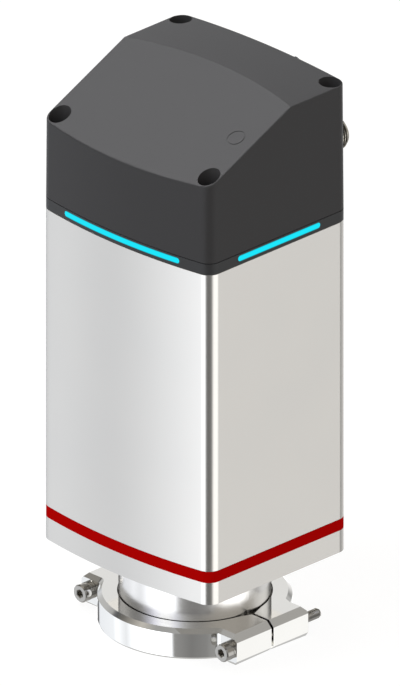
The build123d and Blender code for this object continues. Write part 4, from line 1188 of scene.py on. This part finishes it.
@dataclass(frozen=True)
class Clamp:
    """The split clamp with its two screws and spring washers, all sizes in mm.

    Attributes:
        body_edge: width of the castings' broken edges.
        foot_chamfer: height and depth of the chamfer round the ring's foot.
        foot_outside: distance from the valve axis beyond which an edge of the foot is an outer one.
        thread: the screws' thread.
        threaded_length: length of that thread.
        head_radius: radius of a screw's head.
        head_height: height of the head.
        head_edge: chamfer round the head's face and round its socket.
        key: width of the socket across its flats.
        key_depth: depth of the socket.
        key_cone: depth of the drilled cone at its floor.
        key_tip: radius at the cone's tip.
        key_clearance: radius of the cone as a share of half the socket's width.
        points: points in each ring of a screw.
        washer_bore: inner radius of a spring washer.
        washer_radius: its outer radius.
        washer_thickness: its thickness.
        washer_edge: width of its broken edges.
        washer_slit: width of its slit in degrees.
        washer_steps: straight steps that it is drawn in.
    """

    body_edge: float = 0.2
    foot_chamfer: tuple[float, float] = (0.8, 0.3)
    foot_outside: float = 30.0
    thread: Thread = Thread(1.75, 0.6)
    threaded_length: float = 18.0
    head_radius: float = 3.1
    head_height: float = 3.0
    head_edge: float = 0.4
    key: float = 2.5
    key_depth: float = 2.0
    key_cone: float = 0.5
    key_tip: float = 0.02
    key_clearance: float = 0.96
    points: int = 60
    washer_bore: float = 1.95
    washer_radius: float = 3.05
    washer_thickness: float = 1.0
    washer_edge: float = 0.12
    washer_slit: float = 12.0
    washer_steps: int = 48

    def build(self) -> None:
        """Builds the two castings, the screws and the washers."""
        for half in ("front", "rear"):
            node = f"clamp_{half}_half"
            name = f"clamp_{half}_casting"
            casting = with_broken_edges(node, name, self.body_edge, self.foot_chamfer, self.foot_outside)
            fit(casting, POLISHED_CASTING, node)
        for side in ("left", "right"):
            self.build_screw(side)
        self.build_washers()

    def build_screw(self, side: str) -> None:
        """Builds one socket head screw with its thread, socket and chamfers.

        Args:
            side: left or right.
        """
        node = f"clamp_screw_{side}"
        low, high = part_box(node)
        seat = low.y / MM + self.head_height
        tail = high.y / MM - seat
        place = along_y((low.x + high.x) / 2, seat * MM, (low.z + high.z) / 2)
        pitch, shank = self.thread.pitch, self.thread.radius
        top = -self.head_height
        floor = top + self.key_depth
        small_edge = self.head_edge / 3
        stations = [
            (floor + self.key_cone, round_at(self.key_tip)),
            (floor, round_at(self.key / 2 * self.key_clearance)),
            (floor, hexagon_at(self.key)),
            (top + self.head_edge / 2, hexagon_at(self.key)),
            (top, hexagon_at(self.key + self.head_edge)),
            (top, round_at(self.head_radius - self.head_edge)),
            (top + self.head_edge, round_at(self.head_radius)),
            (-small_edge, round_at(self.head_radius)),
            (0.0, round_at(self.head_radius - small_edge)),
            (0.0, round_at(shank + small_edge)),
            (small_edge, round_at(shank)),
            (tail - self.threaded_length - pitch, round_at(shank)),
            *self.thread.stations(tail - self.threaded_length, tail - pitch / 2),
            (tail, round_at(self.thread.core - pitch / 2)),
        ]
        screw = loft(f"{node}_socket_head", [rings_of(stations, self.points, place)])
        fit(screw, BRIGHT_SCREW, node)

    def build_washers(self) -> None:
        """Builds both split spring washers as one piece."""
        low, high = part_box("lock_washers")
        level = (low.z + high.z) / 2
        shells = []
        for x in (low.x + self.washer_radius * MM, high.x - self.washer_radius * MM):
            shells.append(self.washer_rings(along_y(x, low.y, level)))
        washers = loft("clamp_spring_washers", shells)
        fit(washers, BRIGHT_SCREW, "lock_washers")

    def washer_rings(self, place: Matrix) -> list[Ring]:
        """Sections of one spring washer from one side of its slit to the other.

        Args:
            place: where the washer's axis and lower face lie, in metres.

        Returns:
            Rings of eight points, the corners broken.
        """
        inner, outer, edge = self.washer_bore, self.washer_radius, self.washer_edge
        thick = self.washer_thickness
        section = [
            (inner + edge, 0.0), (outer - edge, 0.0), (outer, edge), (outer, thick - edge),
            (outer - edge, thick), (inner + edge, thick), (inner, thick - edge), (inner, edge),
        ]
        first = math.radians(90 + self.washer_slit / 2)
        span = TURN - math.radians(self.washer_slit)
        rings = []
        for i in range(self.washer_steps + 1):
            angle = first + span * i / self.washer_steps
            rings.append([place @ polar(radius, angle, height) for radius, height in section])
        return rings


@dataclass(frozen=True)
class Motor:
    """Stepper motor in the sleeve."""

    def dress(self) -> None:
        """Gives the motor's pieces their finishes."""
        for node in ("motor_front_cap", "motor_rear_cap"):
            dress(node, CAST_ALUMINIUM)
        for node in ("motor_stator", "rotor_stacks"):
            dress(node, STACKED_LAMINATIONS)
        dress("motor_coils", WOUND_COPPER)
        for node in ("motor_cap_screws", "motor_mount_screws"):
            dress(node, BLACK_SCREW)
        for bearing in ("lower", "upper"):
            dress(f"{bearing}_bearing", GROUND_STEEL)
            dress(f"{bearing}_inner_ring", GROUND_STEEL)
        dress("motor_shaft", GROUND_STEEL)
        dress("rotor_magnet", PLATED_MAGNET)


@dataclass(frozen=True)
class Coupling:
    """Ring of magnets that turns inside the neck."""

    def dress(self) -> None:
        """Gives the coupling's pieces their finishes."""
        dress("coupling_carrier", TURNED_STAINLESS)
        dress("coupling_magnets", PLATED_MAGNET)
        dress("coupling_liner", TURNED_STAINLESS)
        dress("coupling_set_screws", BLACK_SCREW)


@dataclass(frozen=True)
class Electronics:
    """Boards, chips, sockets and leads above the motor."""

    def dress(self) -> None:
        """Gives the electronics their finishes."""
        for node in ("driver_board", "control_board"):
            dress(node, SOLDER_MASK)
        for node in ("driver_chips", "control_chip", "board_link"):
            dress(node, MOULDED_EPOXY)
        dress("driver_capacitors", DRAWN_ALUMINIUM)
        dress("board_standoffs", PLATED_STANDOFF)
        dress("board_screws", BRIGHT_SCREW)
        dress("lead_sockets", NATURAL_NYLON)
        for node in ("motor_leads", "connector_leads"):
            dress(node, EXTRUDED_PVC)


def main() -> None:
    """Builds the studio and every sub-assembly in order."""
    Studio().build()
    Housing().build()
    Head().build()
    Connectors().build()
    Clamp().build()
    Motor().dress()
    Coupling().dress()
    Electronics().dress()


if __name__ == "__main__":
    logging.basicConfig(level=logging.INFO, format="%(message)s")
    main()
